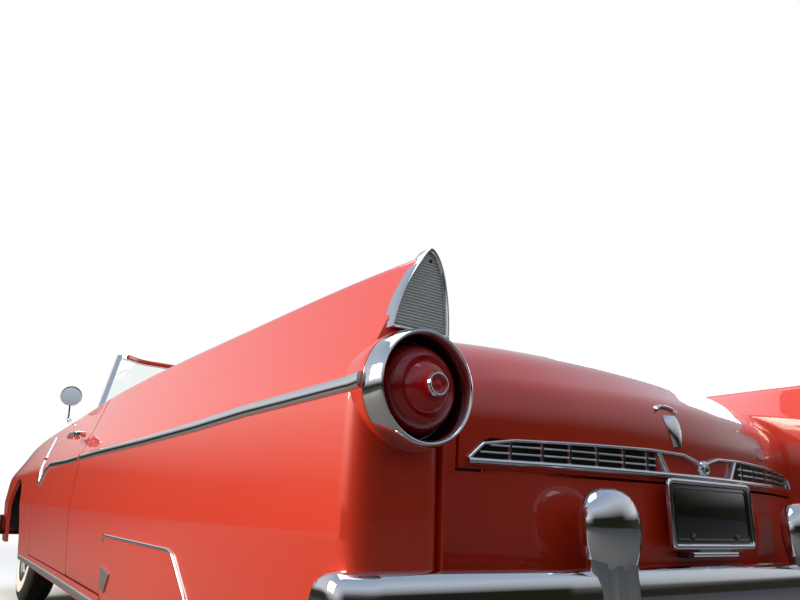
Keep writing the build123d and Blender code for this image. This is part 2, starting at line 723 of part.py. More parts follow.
with BuildPart() as dashboard:
    with BuildSketch(Plane.XZ.offset(-698)):
        with BuildLine():
            FilletPolyline((540, dash_top_z), (436, dash_top_z), (400, 950), (440, 800), (540, 790),
                           radius=[30, 40, 20])
            Line((540, 790), (540, dash_top_z))
        make_face()
    extrude(amount=1396)
    with BuildSketch(column_plane.offset(-hub_depth)):
        Circle(column_radius + seat_clearance)
    extrude(amount=-700, mode=Mode.SUBTRACT)
    add(column.part)
save("dashboard_and_column", dashboard.part)

with BuildPart() as steering_wheel:
    with BuildSketch(Plane(origin=steer_centre, x_dir=(0, 1, 0), z_dir=column_axis.cross(Vector(0, 1, 0)))):
        with Locations((steering_wheel_radius, 0)):
            Circle(11)
    revolve(axis=Axis(steer_centre, column_axis))
    with BuildSketch(column_plane.offset(-hub_depth)):
        Circle(44)
    extrude(amount=40)
    with BuildSketch(column_plane.offset(-6)):
        for angle in (90, 210, 330):
            with Locations(Rot(0, 0, angle)):
                with Locations((steering_wheel_radius / 2, 0)):
                    Rectangle(steering_wheel_radius, 26)
    extrude(amount=10)
save("steering_wheel", steering_wheel.part)

# Seats and the folded top under its boot
tunnel_top_z = sill_top_z + tunnel_height
with BuildPart() as front_seat:
    add(block(-420, 130, -690, 690, tunnel_top_z + 3, 610))
    add(block(-380, 80, -660, -tunnel_half_width - 6, sill_top_z, tunnel_top_z + 3))
    add(block(-380, 80, tunnel_half_width + 6, 660, sill_top_z, tunnel_top_z + 3))
    with BuildSketch(Plane.XZ.offset(-690)):
        Polygon((-420, 600), (-270, 600), (-400, 1030), (-500, 1030), align=None)
    extrude(amount=1380)
save("front_seat", front_seat.part)

seat_floor_z = seat_pan_z + floor_sheet
with BuildPart() as rear_seat:
    add(block(-858, -480, -560, 560, seat_floor_z, 690))
    with BuildSketch(Plane.XZ.offset(-690)):
        Polygon((-860, 770), (-700, 770), (-760, 985), (-860, 985), align=None)
    extrude(amount=1380)
    add(block(-860, -700, -560, 560, 680, 775))
save("rear_seat", rear_seat.part)

boot_front_x = -862
boot_top_z = 1112
with BuildPart() as top_boot:
    add(block(well_rear_x + seat_clearance, boot_front_x, -690, 690, 985 + seat_clearance, boot_top_z))
    fillet(top_boot.edges().group_by(Axis.Z)[-1], 40)
save("top_boot", top_boot.part)

# Chassis frame: side rails with a kick-up, cross members, engine mounts and spring hangers
rail_y = 410
rail_width = 60
rail_mid_z = floor_z - seat_clearance - rail_height / 2
rail_rear_z = seat_pan_z - floor_sheet - seat_clearance - rail_height / 2
# Columns: x and height of the middle of the rail
rail_line = [(2320, 390), (1900, 390), (1400, 350), (1200, rail_mid_z), (-600, rail_mid_z),
             (-880, rail_rear_z), (-1500, rail_rear_z), (-1900, 415), (rear_horn_x, 415)]
# Columns: x, lowest and highest z of each cross member
crossmembers = [(2240, 342, 400), (front_axle_x, 205, 342), (1040, 226, 296), (-300, 226, 296),
                (-930, 440, 510), (-2330, 390, 460)]
# Columns: x and z of each mounting eye's hole, and the top of its plate inside the rail
mount_eyes = [(2270, 306, 350), (-2380, 330, 380)]
with BuildPart() as chassis:
    with BuildSketch(Plane.XZ.offset(-rail_y - rail_width / 2)):
        with BuildLine():
            upper = [(x, z + rail_height / 2) for x, z in rail_line]
            lower = [(x, z - rail_height / 2) for x, z in rail_line]
            Polyline(*upper, *reversed(lower), upper[0])
        make_face()
    extrude(amount=rail_width)
    mirror(about=Plane.XZ)
    for x, low, top in crossmembers:
        add(block(x - 40, x + 40, -rail_y, rail_y, low, top))
    for side in (1, -1):
        inner = side * (rail_y - rail_width / 2)
        outer = side * (rail_y + rail_width / 2)
        add(block(2300, front_horn_x, inner, outer, 342, 390))
        add(block(1600, 1660, side * 280, side * rail_y, 400, 500))
        add(block(front_axle_x - 50, front_axle_x + 50, inner, outer, 400, 500))
        for hanger_x, hanger_low, hanger_top in ((-600, 262, 314), (-1940, 330, 420)):
            add(block(hanger_x - 30, hanger_x + 30, outer - side,
                      side * (spring_y - spring_width / 2 - seat_clearance), hanger_low, hanger_top))
    for eye_x, eye_z, eye_top in mount_eyes:
        for middle_y in (rail_y, -rail_y):
            with BuildSketch(Plane.XZ.offset(-middle_y - mount_eye_thickness / 2)):
                with Locations((eye_x, eye_z)):
                    Circle(mount_eye_radius + 16)
                Polygon((eye_x - 29, eye_z), (eye_x + 29, eye_z), (eye_x + 29, eye_top), (eye_x - 29, eye_top),
                        align=None)
                with Locations((eye_x, eye_z)):
                    Circle(mount_eye_radius, mode=Mode.SUBTRACT)
            extrude(amount=mount_eye_thickness)
save("chassis_frame", chassis.part)

# Engine with its gearbox, and the radiator
with BuildPart() as engine:
    add(block(1250, 1900, -279.7, 279.7, 420, 850))
    add(block(1060, 1250, -120, 120, 300, 480))
    add(block(2180, 2230, -340, 340, 400 + seat_clearance, 820))
save("engine_and_radiator", engine.part)

# Rear axle with its shaft, and the leaf springs it sits on
tube_radius = 38
with BuildPart() as rear_axle:
    with BuildSketch(Plane.XZ.offset(-rear_track / 2 + 60)):
        with Locations((rear_axle_x, axle_z)):
            Circle(tube_radius)
    extrude(amount=rear_track - 120)
    with Locations((rear_axle_x, 0, axle_z)):
        Sphere(120)
    with BuildSketch(Plane.XZ.offset(-rear_track / 2 - 15)):
        with Locations((rear_axle_x, axle_z)):
            Circle(axle_end_radius)
    extrude(amount=rear_track + 30)
    with BuildSketch(Plane.YZ.offset(rear_axle_x)):
        with Locations((0, axle_z)):
            Circle(34)
    extrude(amount=1060 - seat_clearance - rear_axle_x)

spring_top_z = axle_z - tube_radius - seat_clearance
with BuildPart() as springs:
    with BuildSketch(Plane.XZ.offset(-spring_y - spring_width / 2)):
        Polygon((-570, 306), (rear_axle_x + 100, spring_top_z), (rear_axle_x - 100, spring_top_z), (-1980, 375),
                (-1980, 345), (rear_axle_x - 100, spring_top_z - 34), (rear_axle_x + 100, spring_top_z - 34),
                (-570, 276), align=None)
    extrude(amount=spring_width)
    mirror(about=Plane.XZ)
    add(rear_axle.part)
save("rear_axle_and_springs", springs.part)

# Exhaust and fuel tank
exhaust_y = -300
with BuildPart() as exhaust:
    with BuildLine():
        FilletPolyline((1240, exhaust_y, 330), (1140, exhaust_y, 186), (-1500, exhaust_y, 186),
                       (-1800, exhaust_y, 290), (-2440, exhaust_y, 290), radius=[60, 400, 200])
    with BuildSketch(Plane(origin=(-2440, exhaust_y, 290), x_dir=(0, 1, 0), z_dir=(1, 0, 0))):
        Circle(23)
    sweep()
    with BuildSketch(Plane.YZ.offset(100)):
        with Locations((exhaust_y, 186)):
            Ellipse(78, 46)
    extrude(amount=620)
    for x, low, top in ((-300, 200, 226), (1040, 200, 226), (-2330, 304, 390)):
        add(block(x - 10, x + 10, exhaust_y - 14, exhaust_y + 14, low, top - seat_clearance))

with BuildPart() as fuel_tank:
    add(block(-2270, -1760, -250, 330, 350, seat_pan_z - floor_sheet - seat_clearance))
    fillet(fuel_tank.edges().filter_by(Axis.Y), 30)
    add(exhaust.part)
save("exhaust_and_tank", fuel_tank.part)

# Steering knuckles and front suspension arms
kingpin_y = 606
kingpin_length = 230
arm_thickness = 28
with BuildPart() as knuckle:
    with Locations((front_axle_x, kingpin_y, axle_z)):
        Cylinder(24, kingpin_length)
    with BuildSketch(Plane.XZ.offset(-kingpin_y)):
        with Locations((front_axle_x, axle_z)):
            Circle(34)
    extrude(amount=-70)
    with BuildSketch(Plane.XZ.offset(-kingpin_y)):
        with Locations((front_axle_x, axle_z)):
            Circle(axle_end_radius)
    extrude(amount=-(front_track / 2 - kingpin_y + 15))
save_pair("knuckle", knuckle.part)

arm_root_y = rail_y + rail_width / 2
lower_arm_z = axle_z - kingpin_length / 2 - seat_clearance - arm_thickness
upper_arm_z = axle_z + kingpin_length / 2 + seat_clearance
with BuildPart() as suspension:
    for z, reach, root in ((lower_arm_z, 130, rail_y), (upper_arm_z, 90, arm_root_y)):
        with BuildSketch(Plane.XY.offset(z)):
            Polygon((front_axle_x - reach, root), (front_axle_x + reach, root),
                    (front_axle_x + 26, kingpin_y + 26), (front_axle_x - 26, kingpin_y + 26), align=None)
        extrude(amount=arm_thickness)
    mirror(about=Plane.XZ)
    add(chassis.part, mode=Mode.SUBTRACT)
save("front_suspension", suspension.part)

# Wheels: rim, disc, hub and cap, with the tyre apart
disc_y = 26


def make_wheel(side):
    """Wheel about its own centre, with its outer side to the left when side is 1."""
    bore = axle_end_radius + running_clearance
    well = rim_radius - rim_wall
    with BuildPart() as wheel:
        with BuildSketch(Plane.XY):
            with BuildLine():
                Polyline((0, 46), (hub_radius, 46), (hub_radius, disc_y + 6), (150, disc_y + 10),
                         (well, disc_y - 10), (well, 70), (rim_radius, 70),
                         (rim_radius, -70), (well, -70), (well, disc_y - 22),
                         (150, disc_y), (hub_radius, disc_y - 6), (hub_radius, -24),
                         (bore, -24), (bore, 20), (0, 20), (0, 46))
            make_face()
        revolve(axis=Axis.Y)
        with BuildSketch(Plane.XY):
            with BuildLine():
                Line((0, 44), (0, 78))
                ThreePointArc((0, 78), (90, 68), (128, 42))
                Polyline((128, 42), (120, 34), (118, 40), (0, 44))
            make_face()
        revolve(axis=Axis.Y)
    return wheel.part if side > 0 else wheel.part.mirror(Plane.XZ)


def make_tyre():
    half = tyre_width / 2
    inner = rim_radius + seat_clearance
    with BuildPart() as tyre:
        with BuildSketch(Plane.XY):
            with BuildLine():
                Line((inner, -62), (inner + 6, -70))
                ThreePointArc((inner + 6, -70), (inner + 72, -half), (tyre_radius - 16, -68))
                ThreePointArc((tyre_radius - 16, -68), (tyre_radius - 6, -62), (tyre_radius - 2, -52))
                ThreePointArc((tyre_radius - 2, -52), (tyre_radius, 0), (tyre_radius - 2, 52))
                ThreePointArc((tyre_radius - 2, 52), (tyre_radius - 6, 62), (tyre_radius - 16, 68))
                ThreePointArc((tyre_radius - 16, 68), (inner + 72, half), (inner + 6, 70))
                Line((inner + 6, 70), (inner, 62))
                Line((inner, 62), (inner, -62))
            make_face()
        revolve(axis=Axis.Y)
    return tyre.part


# Columns: name, x and y of the wheel centre, and the side its cap faces
wheel_places = [
    ("front_left", front_axle_x, front_track / 2, 1),
    ("front_right", front_axle_x, -front_track / 2, -1),
    ("rear_left", rear_axle_x, rear_track / 2, 1),
    ("rear_right", rear_axle_x, -rear_track / 2, -1),
]
for name, x, y, side in wheel_places:
    save(f"wheel_{name}", Pos(x, y, axle_z) * make_wheel(side))
    save(f"tyre_{name}", Pos(x, y, axle_z) * make_tyre())
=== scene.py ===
"""Looks of the two-door convertible: paint, chrome, lamps, trim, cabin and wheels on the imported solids.

The file is laid out as an add-on and run as a script. Everything is in metres in the model's own frame:
+X towards the nose, +Y to the left, +Z up, with the ground at z = 0.
"""
import json
from math import cos, hypot, pi, radians, sin, sqrt

import bpy
from mathutils import Matrix, Vector
from mathutils.bvhtree import BVHTree


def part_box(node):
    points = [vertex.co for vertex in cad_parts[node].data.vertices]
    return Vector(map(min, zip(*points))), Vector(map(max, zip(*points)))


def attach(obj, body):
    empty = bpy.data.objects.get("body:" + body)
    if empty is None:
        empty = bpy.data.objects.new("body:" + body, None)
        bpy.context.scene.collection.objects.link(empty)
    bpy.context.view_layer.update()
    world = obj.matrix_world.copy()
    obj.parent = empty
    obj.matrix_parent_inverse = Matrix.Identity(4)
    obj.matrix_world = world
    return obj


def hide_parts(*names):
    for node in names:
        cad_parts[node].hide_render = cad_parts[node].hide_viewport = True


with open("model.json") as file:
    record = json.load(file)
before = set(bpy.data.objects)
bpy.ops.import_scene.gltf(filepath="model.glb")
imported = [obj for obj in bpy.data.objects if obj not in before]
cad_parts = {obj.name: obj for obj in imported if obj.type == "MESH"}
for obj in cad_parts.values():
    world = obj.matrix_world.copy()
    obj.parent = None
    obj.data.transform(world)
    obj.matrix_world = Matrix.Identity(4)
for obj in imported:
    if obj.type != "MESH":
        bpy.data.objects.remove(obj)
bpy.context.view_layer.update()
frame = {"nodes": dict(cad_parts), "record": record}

bl_info = {
    "name": "Two-door convertible",
    "version": (1, 0, 0),
    "blender": (4, 5, 0),
    "location": "3D View > Sidebar > Convertible",
    "description": "Paint, chrome, lamps, trim, cabin and wheels of a mid-1950s open car",
    "category": "Object",
}


def srgb(code, alpha=1.0):
    """Linear colour of an sRGB hex value."""
    parts = [int(code[i:i + 2], 16) / 255 for i in (1, 3, 5)]
    return [p / 12.92 if p <= 0.04045 else ((p + 0.055) / 1.055) ** 2.4 for p in parts] + [alpha]


class CarSettings(bpy.types.PropertyGroup):
    """Sizes and colours that a user would change."""
    body_colour: bpy.props.FloatVectorProperty(
        name="Body enamel", description="Colour of the painted panels", subtype="COLOR", size=4,
        min=0, max=1, default=srgb("#DA3410"))
    seat_colour: bpy.props.FloatVectorProperty(
        name="Seat vinyl", description="Colour of the seat covers", subtype="COLOR", size=4,
        min=0, max=1, default=srgb("#A81B14"))
    insert_colour: bpy.props.FloatVectorProperty(
        name="Seat inserts", description="Colour of the pleated inserts and the door cards",
        subtype="COLOR", size=4, min=0, max=1, default=srgb("#E2DCCE"))
    boot_colour: bpy.props.FloatVectorProperty(
        name="Top boot", description="Colour of the folded top's cover", subtype="COLOR", size=4,
        min=0, max=1, default=srgb("#E4DFD2"))
    moulding_width: bpy.props.FloatProperty(
        name="Side moulding width", description="Height of the bright strip along the side",
        default=0.026, min=0.01, max=0.05, unit="LENGTH")
    pleat_pitch: bpy.props.FloatProperty(
        name="Pleat pitch", description="Distance between the sewn channels of the seats",
        default=0.062, min=0.03, max=0.12, unit="LENGTH")
    whitewall_width: bpy.props.FloatProperty(
        name="White wall width", description="Width of the white band on the tyres",
        default=0.058, min=0.01, max=0.08, unit="LENGTH")


# Materials
materials = {}


def add_node(tree, kind, inputs=None, **fields):
    """Adds a node, sets its fields, and sets or links its inputs."""
    made = tree.nodes.new(kind)
    for field, value in fields.items():
        setattr(made, field, value)
    for name, value in (inputs or {}).items():
        if isinstance(value, bpy.types.NodeSocket):
            tree.links.new(value, made.inputs[name])
        else:
            made.inputs[name].default_value = value
    return made


def finish(name, inputs, pattern=None):
    """A material with one principled shader; pattern adds nodes and returns more inputs for it."""
    material = bpy.data.materials.new(name)
    material.use_nodes = True
    tree = material.node_tree
    tree.nodes.clear()
    coords = add_node(tree, "ShaderNodeTexCoord").outputs["Object"]
    linked = pattern(tree, coords) if pattern else {}
    shader = add_node(tree, "ShaderNodeBsdfPrincipled", {**inputs, **linked})
    add_node(tree, "ShaderNodeOutputMaterial", {"Surface": shader.outputs["BSDF"]})
    materials[name] = material
    return material


def bump(tree, height, strength, distance):
    """Normal output of a bump node for a height."""
    return add_node(tree, "ShaderNodeBump", {"Height": height, "Strength": strength,
                                             "Distance": distance}).outputs["Normal"]


def noise(tree, coords, scale, detail=2.0):
    """Factor output of a noise of about 1 / scale metres."""
    return add_node(tree, "ShaderNodeTexNoise", {"Vector": coords, "Scale": scale,
                                                 "Detail": detail}).outputs["Fac"]


def cells(tree, coords, scale):
    """Distance output of a cell pattern of about 1 / scale metres."""
    return add_node(tree, "ShaderNodeTexVoronoi", {"Vector": coords, "Scale": scale}).outputs["Distance"]


def blend(tree, factor, low, high):
    """Colour between two colours by a factor."""
    return add_node(tree, "ShaderNodeMix", {"Factor": factor, "A": low, "B": high},
                    data_type="RGBA").outputs["Result"]


def spread(tree, value, low, high, from_low=0.0, from_high=1.0):
    """A value carried from one range to another."""
    return add_node(tree, "ShaderNodeMapRange", {"Value": value, "From Min": from_low,
                                                 "From Max": from_high, "To Min": low,
                                                 "To Max": high}).outputs["Result"]


def calc(tree, operation, *values):
    """Result of a math node."""
    return add_node(tree, "ShaderNodeMath", dict(enumerate(values)), operation=operation).outputs[0]


def xyz_of(tree, coords):
    """X, Y and Z of a place."""
    return add_node(tree, "ShaderNodeSeparateXYZ", {"Vector": coords}).outputs


def ridges(tree, distance, pitch):
    """A sine wave over a distance, with its crests one pitch apart."""
    return calc(tree, "SINE", calc(tree, "MULTIPLY", distance, 2 * pi / pitch))


def in_sight(tree):
    """1 for rays from the camera, straight or through glass, and 0 for all others."""
    rays = add_node(tree, "ShaderNodeLightPath").outputs
    return calc(tree, "MAXIMUM", rays["Is Camera Ray"], rays["Is Transmission Ray"])


def darker(colour, share):
    """A colour with its light cut to a share."""
    return [channel * share for channel in colour[:3]] + [1]


def make_materials(settings):
    """Every finish on the car."""
    body = list(settings.body_colour)

    def enamel(tree, coords):
        # Sprayed and polished enamel: faint orange peel, a slow change of shade, road dust near the sills
        low = spread(tree, xyz_of(tree, coords)["Z"], 0.35, 0.0, 0.28, 0.55)
        shade = blend(tree, noise(tree, coords, 1.5, 3.0), body, darker(body, 0.86))
        dust = calc(tree, "MULTIPLY", low, noise(tree, coords, 25.0, 5.0))
        return {"Base Color": blend(tree, dust, shade, srgb("#8A6A58")),
                "Coat Normal": bump(tree, noise(tree, coords, 90.0), 0.04, 0.0004)}
    finish("enamel_paint", {"Roughness": 0.4, "IOR": 1.5, "Coat Weight": 1.0, "Coat Roughness": 0.02,
                            "Specular IOR Level": 0.4}, enamel)

    def plating(tree, coords):
        # Polished chrome plate: mirror bright, with faint wiping marks and a little haze
        return {"Roughness": spread(tree, noise(tree, coords, 14.0, 4.0), 0.02, 0.11),
                "Normal": bump(tree, noise(tree, coords, 30.0, 1.0), 0.03, 0.0005)}
    finish("chrome_plate", {"Base Color": srgb("#E4E6EA"), "Metallic": 1.0}, plating)

    def brushed(tree, coords):
        # Brushed aluminium: fine lines along the car
        lines = add_node(tree, "ShaderNodeMapping", {"Vector": coords, "Scale": (4.0, 900.0, 900.0)})
        return {"Roughness": spread(tree, noise(tree, lines.outputs["Vector"], 1.0), 0.22, 0.4)}
    finish("brushed_aluminium", {"Base Color": srgb("#C9CBCE"), "Metallic": 1.0}, brushed)

    finish("silvered_glass", {"Base Color": srgb("#E9EDF0"), "Metallic": 1.0, "Roughness": 0.01})

    def pane(tree, coords):
        # Laminated safety glass: clear, with a light film of dust
        return {"Roughness": spread(tree, noise(tree, coords, 6.0, 5.0), 0.0, 0.03)}
    finish("clear_glass", {"Base Color": srgb("#F4FAF8"), "IOR": 1.52, "Transmission Weight": 1.0}, pane)

    def tail_lens(tree, coords):
        # Moulded red acrylic: concentric ribs inside, 5 mm apart, deeper red towards the edge
        xyz = xyz_of(tree, coords)
        across = calc(tree, "SUBTRACT", calc(tree, "ABSOLUTE", xyz["Y"]), lamp_y / 1000)
        upward = calc(tree, "SUBTRACT", xyz["Z"], lamp_z / 1000)
        flat = add_node(tree, "ShaderNodeCombineXYZ", {"X": across, "Y": upward, "Z": 0.0}).outputs[0]
        reach = add_node(tree, "ShaderNodeVectorMath", {0: flat}, operation="LENGTH").outputs["Value"]
        depth = spread(tree, reach, 0.0, 1.0, 0.03, 0.08)
        return {"Base Color": blend(tree, depth, srgb("#D01820"), srgb("#86090F")),
                "Normal": bump(tree, ridges(tree, reach, 0.005), 0.12, 0.0012)}
    finish("red_acrylic", {"Roughness": 0.08, "IOR": 1.49, "Transmission Weight": 0.08,
                           "Coat Weight": 0.6, "Coat Roughness": 0.02}, tail_lens)

    def ribbed(tree, coords):
        # Pressed glass over a silvered back: level ribs 5.5 mm apart, with painted shade in the hollows and
        # a painted highlight on the crests
        ribs = ridges(tree, xyz_of(tree, coords)["Z"], 0.0055)
        shade = spread(tree, ribs, 0.0, 1.0, -1.0, 1.0)
        return {"Base Color": blend(tree, shade, srgb("#96968E"), srgb("#E2E2DA")),
                "Normal": bump(tree, ribs, 0.6, 0.0015)}
    finish("ribbed_glass", {"Roughness": 0.12, "IOR": 1.5, "Coat Weight": 0.8,
                            "Coat Roughness": 0.03}, ribbed)

    def headlamp(tree, coords):
        # Pressed headlamp glass over a silvered bowl: upright flutes 9 mm apart
        return {"Normal": bump(tree, ridges(tree, xyz_of(tree, coords)["Y"], 0.009), 0.5, 0.002)}
    finish("headlamp_glass", {"Base Color": srgb("#DDE3E6"), "Roughness": 0.06, "IOR": 1.5,
                              "Metallic": 0.55, "Coat Weight": 1.0, "Coat Roughness": 0.02}, headlamp)
    finish("amber_acrylic", {"Base Color": srgb("#C9660A"), "Roughness": 0.1, "IOR": 1.49,
                             "Coat Weight": 0.6, "Transmission Weight": 0.2})

    def satin(tree, coords):
        # Brushed-on chassis black: uneven gloss and a film of road dust
        return {"Base Color": blend(tree, noise(tree, coords, 9.0, 6.0), srgb("#161617"), srgb("#34302B")),
                "Roughness": spread(tree, noise(tree, coords, 22.0, 3.0), 0.38, 0.7)}
    finish("chassis_black", {"IOR": 1.5}, satin)

    def iron(tree, coords):
        # Sand-cast iron: rough skin with rust in the hollows
        return {"Base Color": blend(tree, noise(tree, coords, 18.0, 6.0), srgb("#2C2B2A"), srgb("#5A4436")),
                "Normal": bump(tree, noise(tree, coords, 400.0, 3.0), 0.35, 0.001)}
    finish("cast_iron", {"Roughness": 0.75, "Metallic": 0.3}, iron)

    def zinc(tree, coords):
        # Galvanised sheet: crystal spangle 15 mm across, dulled by heat and salt
        return {"Base Color": blend(tree, noise(tree, coords, 12.0, 5.0), srgb("#8B8A86"), srgb("#6B5E50")),
                "Roughness": spread(tree, cells(tree, coords, 65.0), 0.4, 0.62)}
    finish("galvanised_steel", {"Metallic": 0.9}, zinc)

    def carpet(tree, coords):
        # Loop-pile carpet: loops drawn 5 mm apart, coarser than real so that they show
        loops = cells(tree, coords, 200.0)
        return {"Base Color": blend(tree, loops, srgb("#5A1410"), srgb("#2A0806")),
                "Normal": bump(tree, loops, 0.9, 0.004)}
    finish("loop_carpet", {"Roughness": 0.95, "Sheen Weight": 0.35, "Sheen Roughness": 0.5}, carpet)

    def vinyl(low, high):
        def pattern(tree, coords):
            # Embossed vinyl: hide grain with cells 1.6 mm across, a little gloss where it is rubbed
            return {"Base Color": blend(tree, noise(tree, coords, 5.0, 4.0), low, high),
                    "Roughness": spread(tree, noise(tree, coords, 11.0, 3.0), 0.34, 0.5),
                    "Normal": bump(tree, cells(tree, coords, 620.0), 0.3, 0.0006)}
        return pattern
    seat, insert = list(settings.seat_colour), list(settings.insert_colour)
    boot = list(settings.boot_colour)
    finish("seat_vinyl", {"IOR": 1.5}, vinyl(seat, darker(seat, 0.78)))
    finish("insert_vinyl", {"IOR": 1.5}, vinyl(insert, darker(insert, 0.86)))

    def canvas(tree, coords):
        # Vinyl-coated twill of the boot: threads drawn about 3 mm apart, soiled in patches
        weave = add_node(tree, "ShaderNodeTexWave", {"Vector": coords, "Scale": 100.0, "Distortion": 0.4})
        return {"Base Color": blend(tree, noise(tree, coords, 4.0, 5.0), boot, darker(boot, 0.78)),
                "Normal": bump(tree, weave.outputs["Fac"], 0.25, 0.0008)}
    finish("boot_twill", {"Roughness": 0.62, "IOR": 1.48}, canvas)

    def plastic(tree, coords):
        # Moulded cellulose plastic of the steering wheel: glossy, a little clouded
        return {"Base Color": blend(tree, noise(tree, coords, 16.0, 3.0), srgb("#7A1410"), srgb("#5C0D0B"))}
    finish("wheel_plastic", {"Roughness": 0.16, "IOR": 1.5, "Coat Weight": 0.5}, plastic)

    def rim_paint(tree, coords):
        # Stoved enamel on pressed steel: brake dust in random patches
        dust = noise(tree, coords, 10.0, 5.0)
        return {"Base Color": blend(tree, dust, darker(body, 0.6), darker(body, 0.35))}
    finish("wheel_enamel", {"Roughness": 0.25, "IOR": 1.5, "Coat Weight": 0.7}, rim_paint)

    def rubber(low, high, rough):
        def pattern(tree, coords):
            # Moulded rubber: matt, with grey bloom and dust
            return {"Base Color": blend(tree, noise(tree, coords, 20.0, 6.0), srgb(low), srgb(high)),
                    "Roughness": spread(tree, noise(tree, coords, 60.0, 3.0), rough - 0.08, rough + 0.1),
                    "Normal": bump(tree, noise(tree, coords, 700.0, 2.0), 0.2, 0.0005)}
        return pattern
    finish("tyre_rubber", {"IOR": 1.5}, rubber("#151414", "#2B2825", 0.75))
    finish("white_rubber", {"IOR": 1.5}, rubber("#EEEAE0", "#D3CCBC", 0.6))
    finish("seal_rubber", {"IOR": 1.5}, rubber("#121212", "#232120", 0.6))

    def black_gloss(tree, coords):
        # Stove-enamelled black steel: glossy, faintly hazed
        return {"Base Color": blend(tree, noise(tree, coords, 14.0, 4.0), srgb("#0E0E0C"), srgb("#26241C")),
                "Roughness": spread(tree, noise(tree, coords, 40.0, 3.0), 0.08, 0.2)}
    finish("black_enamel", {"IOR": 1.5, "Coat Weight": 1.0, "Coat Roughness": 0.03}, black_gloss)

    def dial(tree, coords):
        # Dial plate: matt black, a little clouded
        return {"Base Color": blend(tree, noise(tree, coords, 60.0), srgb("#101214"), srgb("#1C1F22"))}
    finish("dial_black", {"Roughness": 0.35, "IOR": 1.5, "Coat Weight": 0.6}, dial)
    finish("dial_white", {"Base Color": srgb("#E9E6DA"), "Roughness": 0.5})


# Mesh helpers
def only(*objects):
    """Selects just these objects and makes the first one active."""
    if bpy.context.object and bpy.context.object.mode != "OBJECT":
        bpy.ops.object.mode_set(mode="OBJECT")
    bpy.ops.object.select_all(action="DESELECT")
    for item in objects:
        item.select_set(True)
    bpy.context.view_layer.objects.active = objects[0]
    return objects[0]


def place(piece, body, *finishes, slot=None, smooth=30, replaces=()):
    """Gives a finished piece its materials and body and says what it replaces."""
    piece.data.materials.clear()
    for name in finishes:
        piece.data.materials.append(materials[name])
    only(piece)
    bpy.ops.object.shade_smooth_by_angle(angle=radians(smooth))
    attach(piece, body)
    if replaces:
        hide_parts(*replaces)
    return piece


def modify(piece, kind, **fields):
    """Adds a modifier and applies it."""
    only(piece)
    made = piece.modifiers.new(kind.lower(), kind)
    for field, value in fields.items():
        setattr(made, field, value)
    bpy.ops.object.modifier_apply(modifier=made.name)
    return piece


def close(piece, caps=False, merge=0.00002):
    """Joins doubled points, closes open ends if caps is true, and turns the faces outwards."""
    only(piece)
    bpy.ops.object.mode_set(mode="EDIT")
    bpy.ops.mesh.select_mode(type="VERT")
    bpy.ops.mesh.select_all(action="SELECT")
    bpy.ops.mesh.remove_doubles(threshold=merge)
    bpy.ops.mesh.delete_loose()
    if caps:
        bpy.ops.mesh.select_all(action="DESELECT")
        bpy.ops.mesh.select_non_manifold()
        bpy.ops.mesh.fill_holes(sides=0)
    bpy.ops.mesh.select_all(action="SELECT")
    bpy.ops.mesh.normals_make_consistent(inside=False)
    bpy.ops.object.mode_set(mode="OBJECT")
    return piece


def mm(*values):
    """Millimetres as metres."""
    return tuple(v / 1000 for v in values)


def mm_points(points):
    """Points in millimetres as points in metres."""
    return [mm(*point) for point in points]


def lofted(name, rows, caps=False):
    """A grid primitive whose points are moved to rows of points, joined where its edges meet."""
    across, along = len(rows[0]) - 1, len(rows) - 1
    bpy.ops.mesh.primitive_grid_add(x_subdivisions=across, y_subdivisions=along, size=2, location=(0, 0, 0))
    piece = bpy.context.object
    piece.name = name
    for vertex in piece.data.vertices:
        i = round((vertex.co.x + 1) / 2 * across)
        j = round((vertex.co.y + 1) / 2 * along)
        vertex.co = rows[j][i]
    return close(piece, caps)


def turned(name, profile, centre, axis, steps=64):
    """A closed profile of (along, radius) points spun round an axis through the centre."""
    bpy.ops.mesh.primitive_circle_add(vertices=len(profile), radius=1, location=(0, 0, 0))
    piece = bpy.context.object
    piece.name = name
    axis = Vector(axis).normalized()
    outward = axis.orthogonal().normalized()
    for vertex, (along, radius) in zip(piece.data.vertices, profile):
        vertex.co = Vector(centre) + axis * along + outward * radius
    only(piece)
    bpy.ops.object.mode_set(mode="EDIT")
    bpy.ops.mesh.select_all(action="SELECT")
    bpy.ops.mesh.spin(steps=steps, angle=2 * pi, center=centre, axis=axis)
    bpy.ops.object.mode_set(mode="OBJECT")
    return close(piece)


def lathe(name, profile, centre, axis=(1, 0, 0), steps=64):
    """A closed profile in millimetres spun round an axis, along the car if no other is given."""
    return turned(name, mm_points(profile), centre, axis, steps)


def swept(name, path, out, section, closed=False):
    """A closed section of (across, proud) points carried along a path, out being the side it faces."""
    rows = []
    count = len(path)
    for i, point in enumerate(path):
        before = path[i - 1] if i or closed else path[i]
        after = path[(i + 1) % count] if i < count - 1 or closed else path[i]
        along = (Vector(after) - Vector(before)).normalized()
        proud = Vector(out(point) if callable(out) else out).normalized()
        across = along.cross(proud).normalized()
        arrive = (Vector(point) - Vector(before)) if before is not point else along
        stretch = 1 / max(0.55, arrive.normalized().dot(along))
        rows.append([Vector(point) + across * s * stretch + proud * h for s, h in section])
    if closed:
        rows.append(rows[0])
    return lofted(name, rows, caps=not closed)


def crowned(width, height, sink=0.003):
    """Section of a rounded strip: its width, how proud it stands, and how far it reaches into the panel."""
    half = width / 2
    return [(-half, -sink), (-half, height * 0.35), (-half * 0.86, height * 0.72),
            (-half * 0.5, height * 0.94), (0, height), (half * 0.5, height * 0.94),
            (half * 0.86, height * 0.72), (half, height * 0.35), (half, -sink), (-half, -sink)]


def round_section(radius, steps=12):
    """Section of a round bar."""
    return [(radius * sin(2 * pi * i / steps), radius * cos(2 * pi * i / steps)) for i in range(steps + 1)]


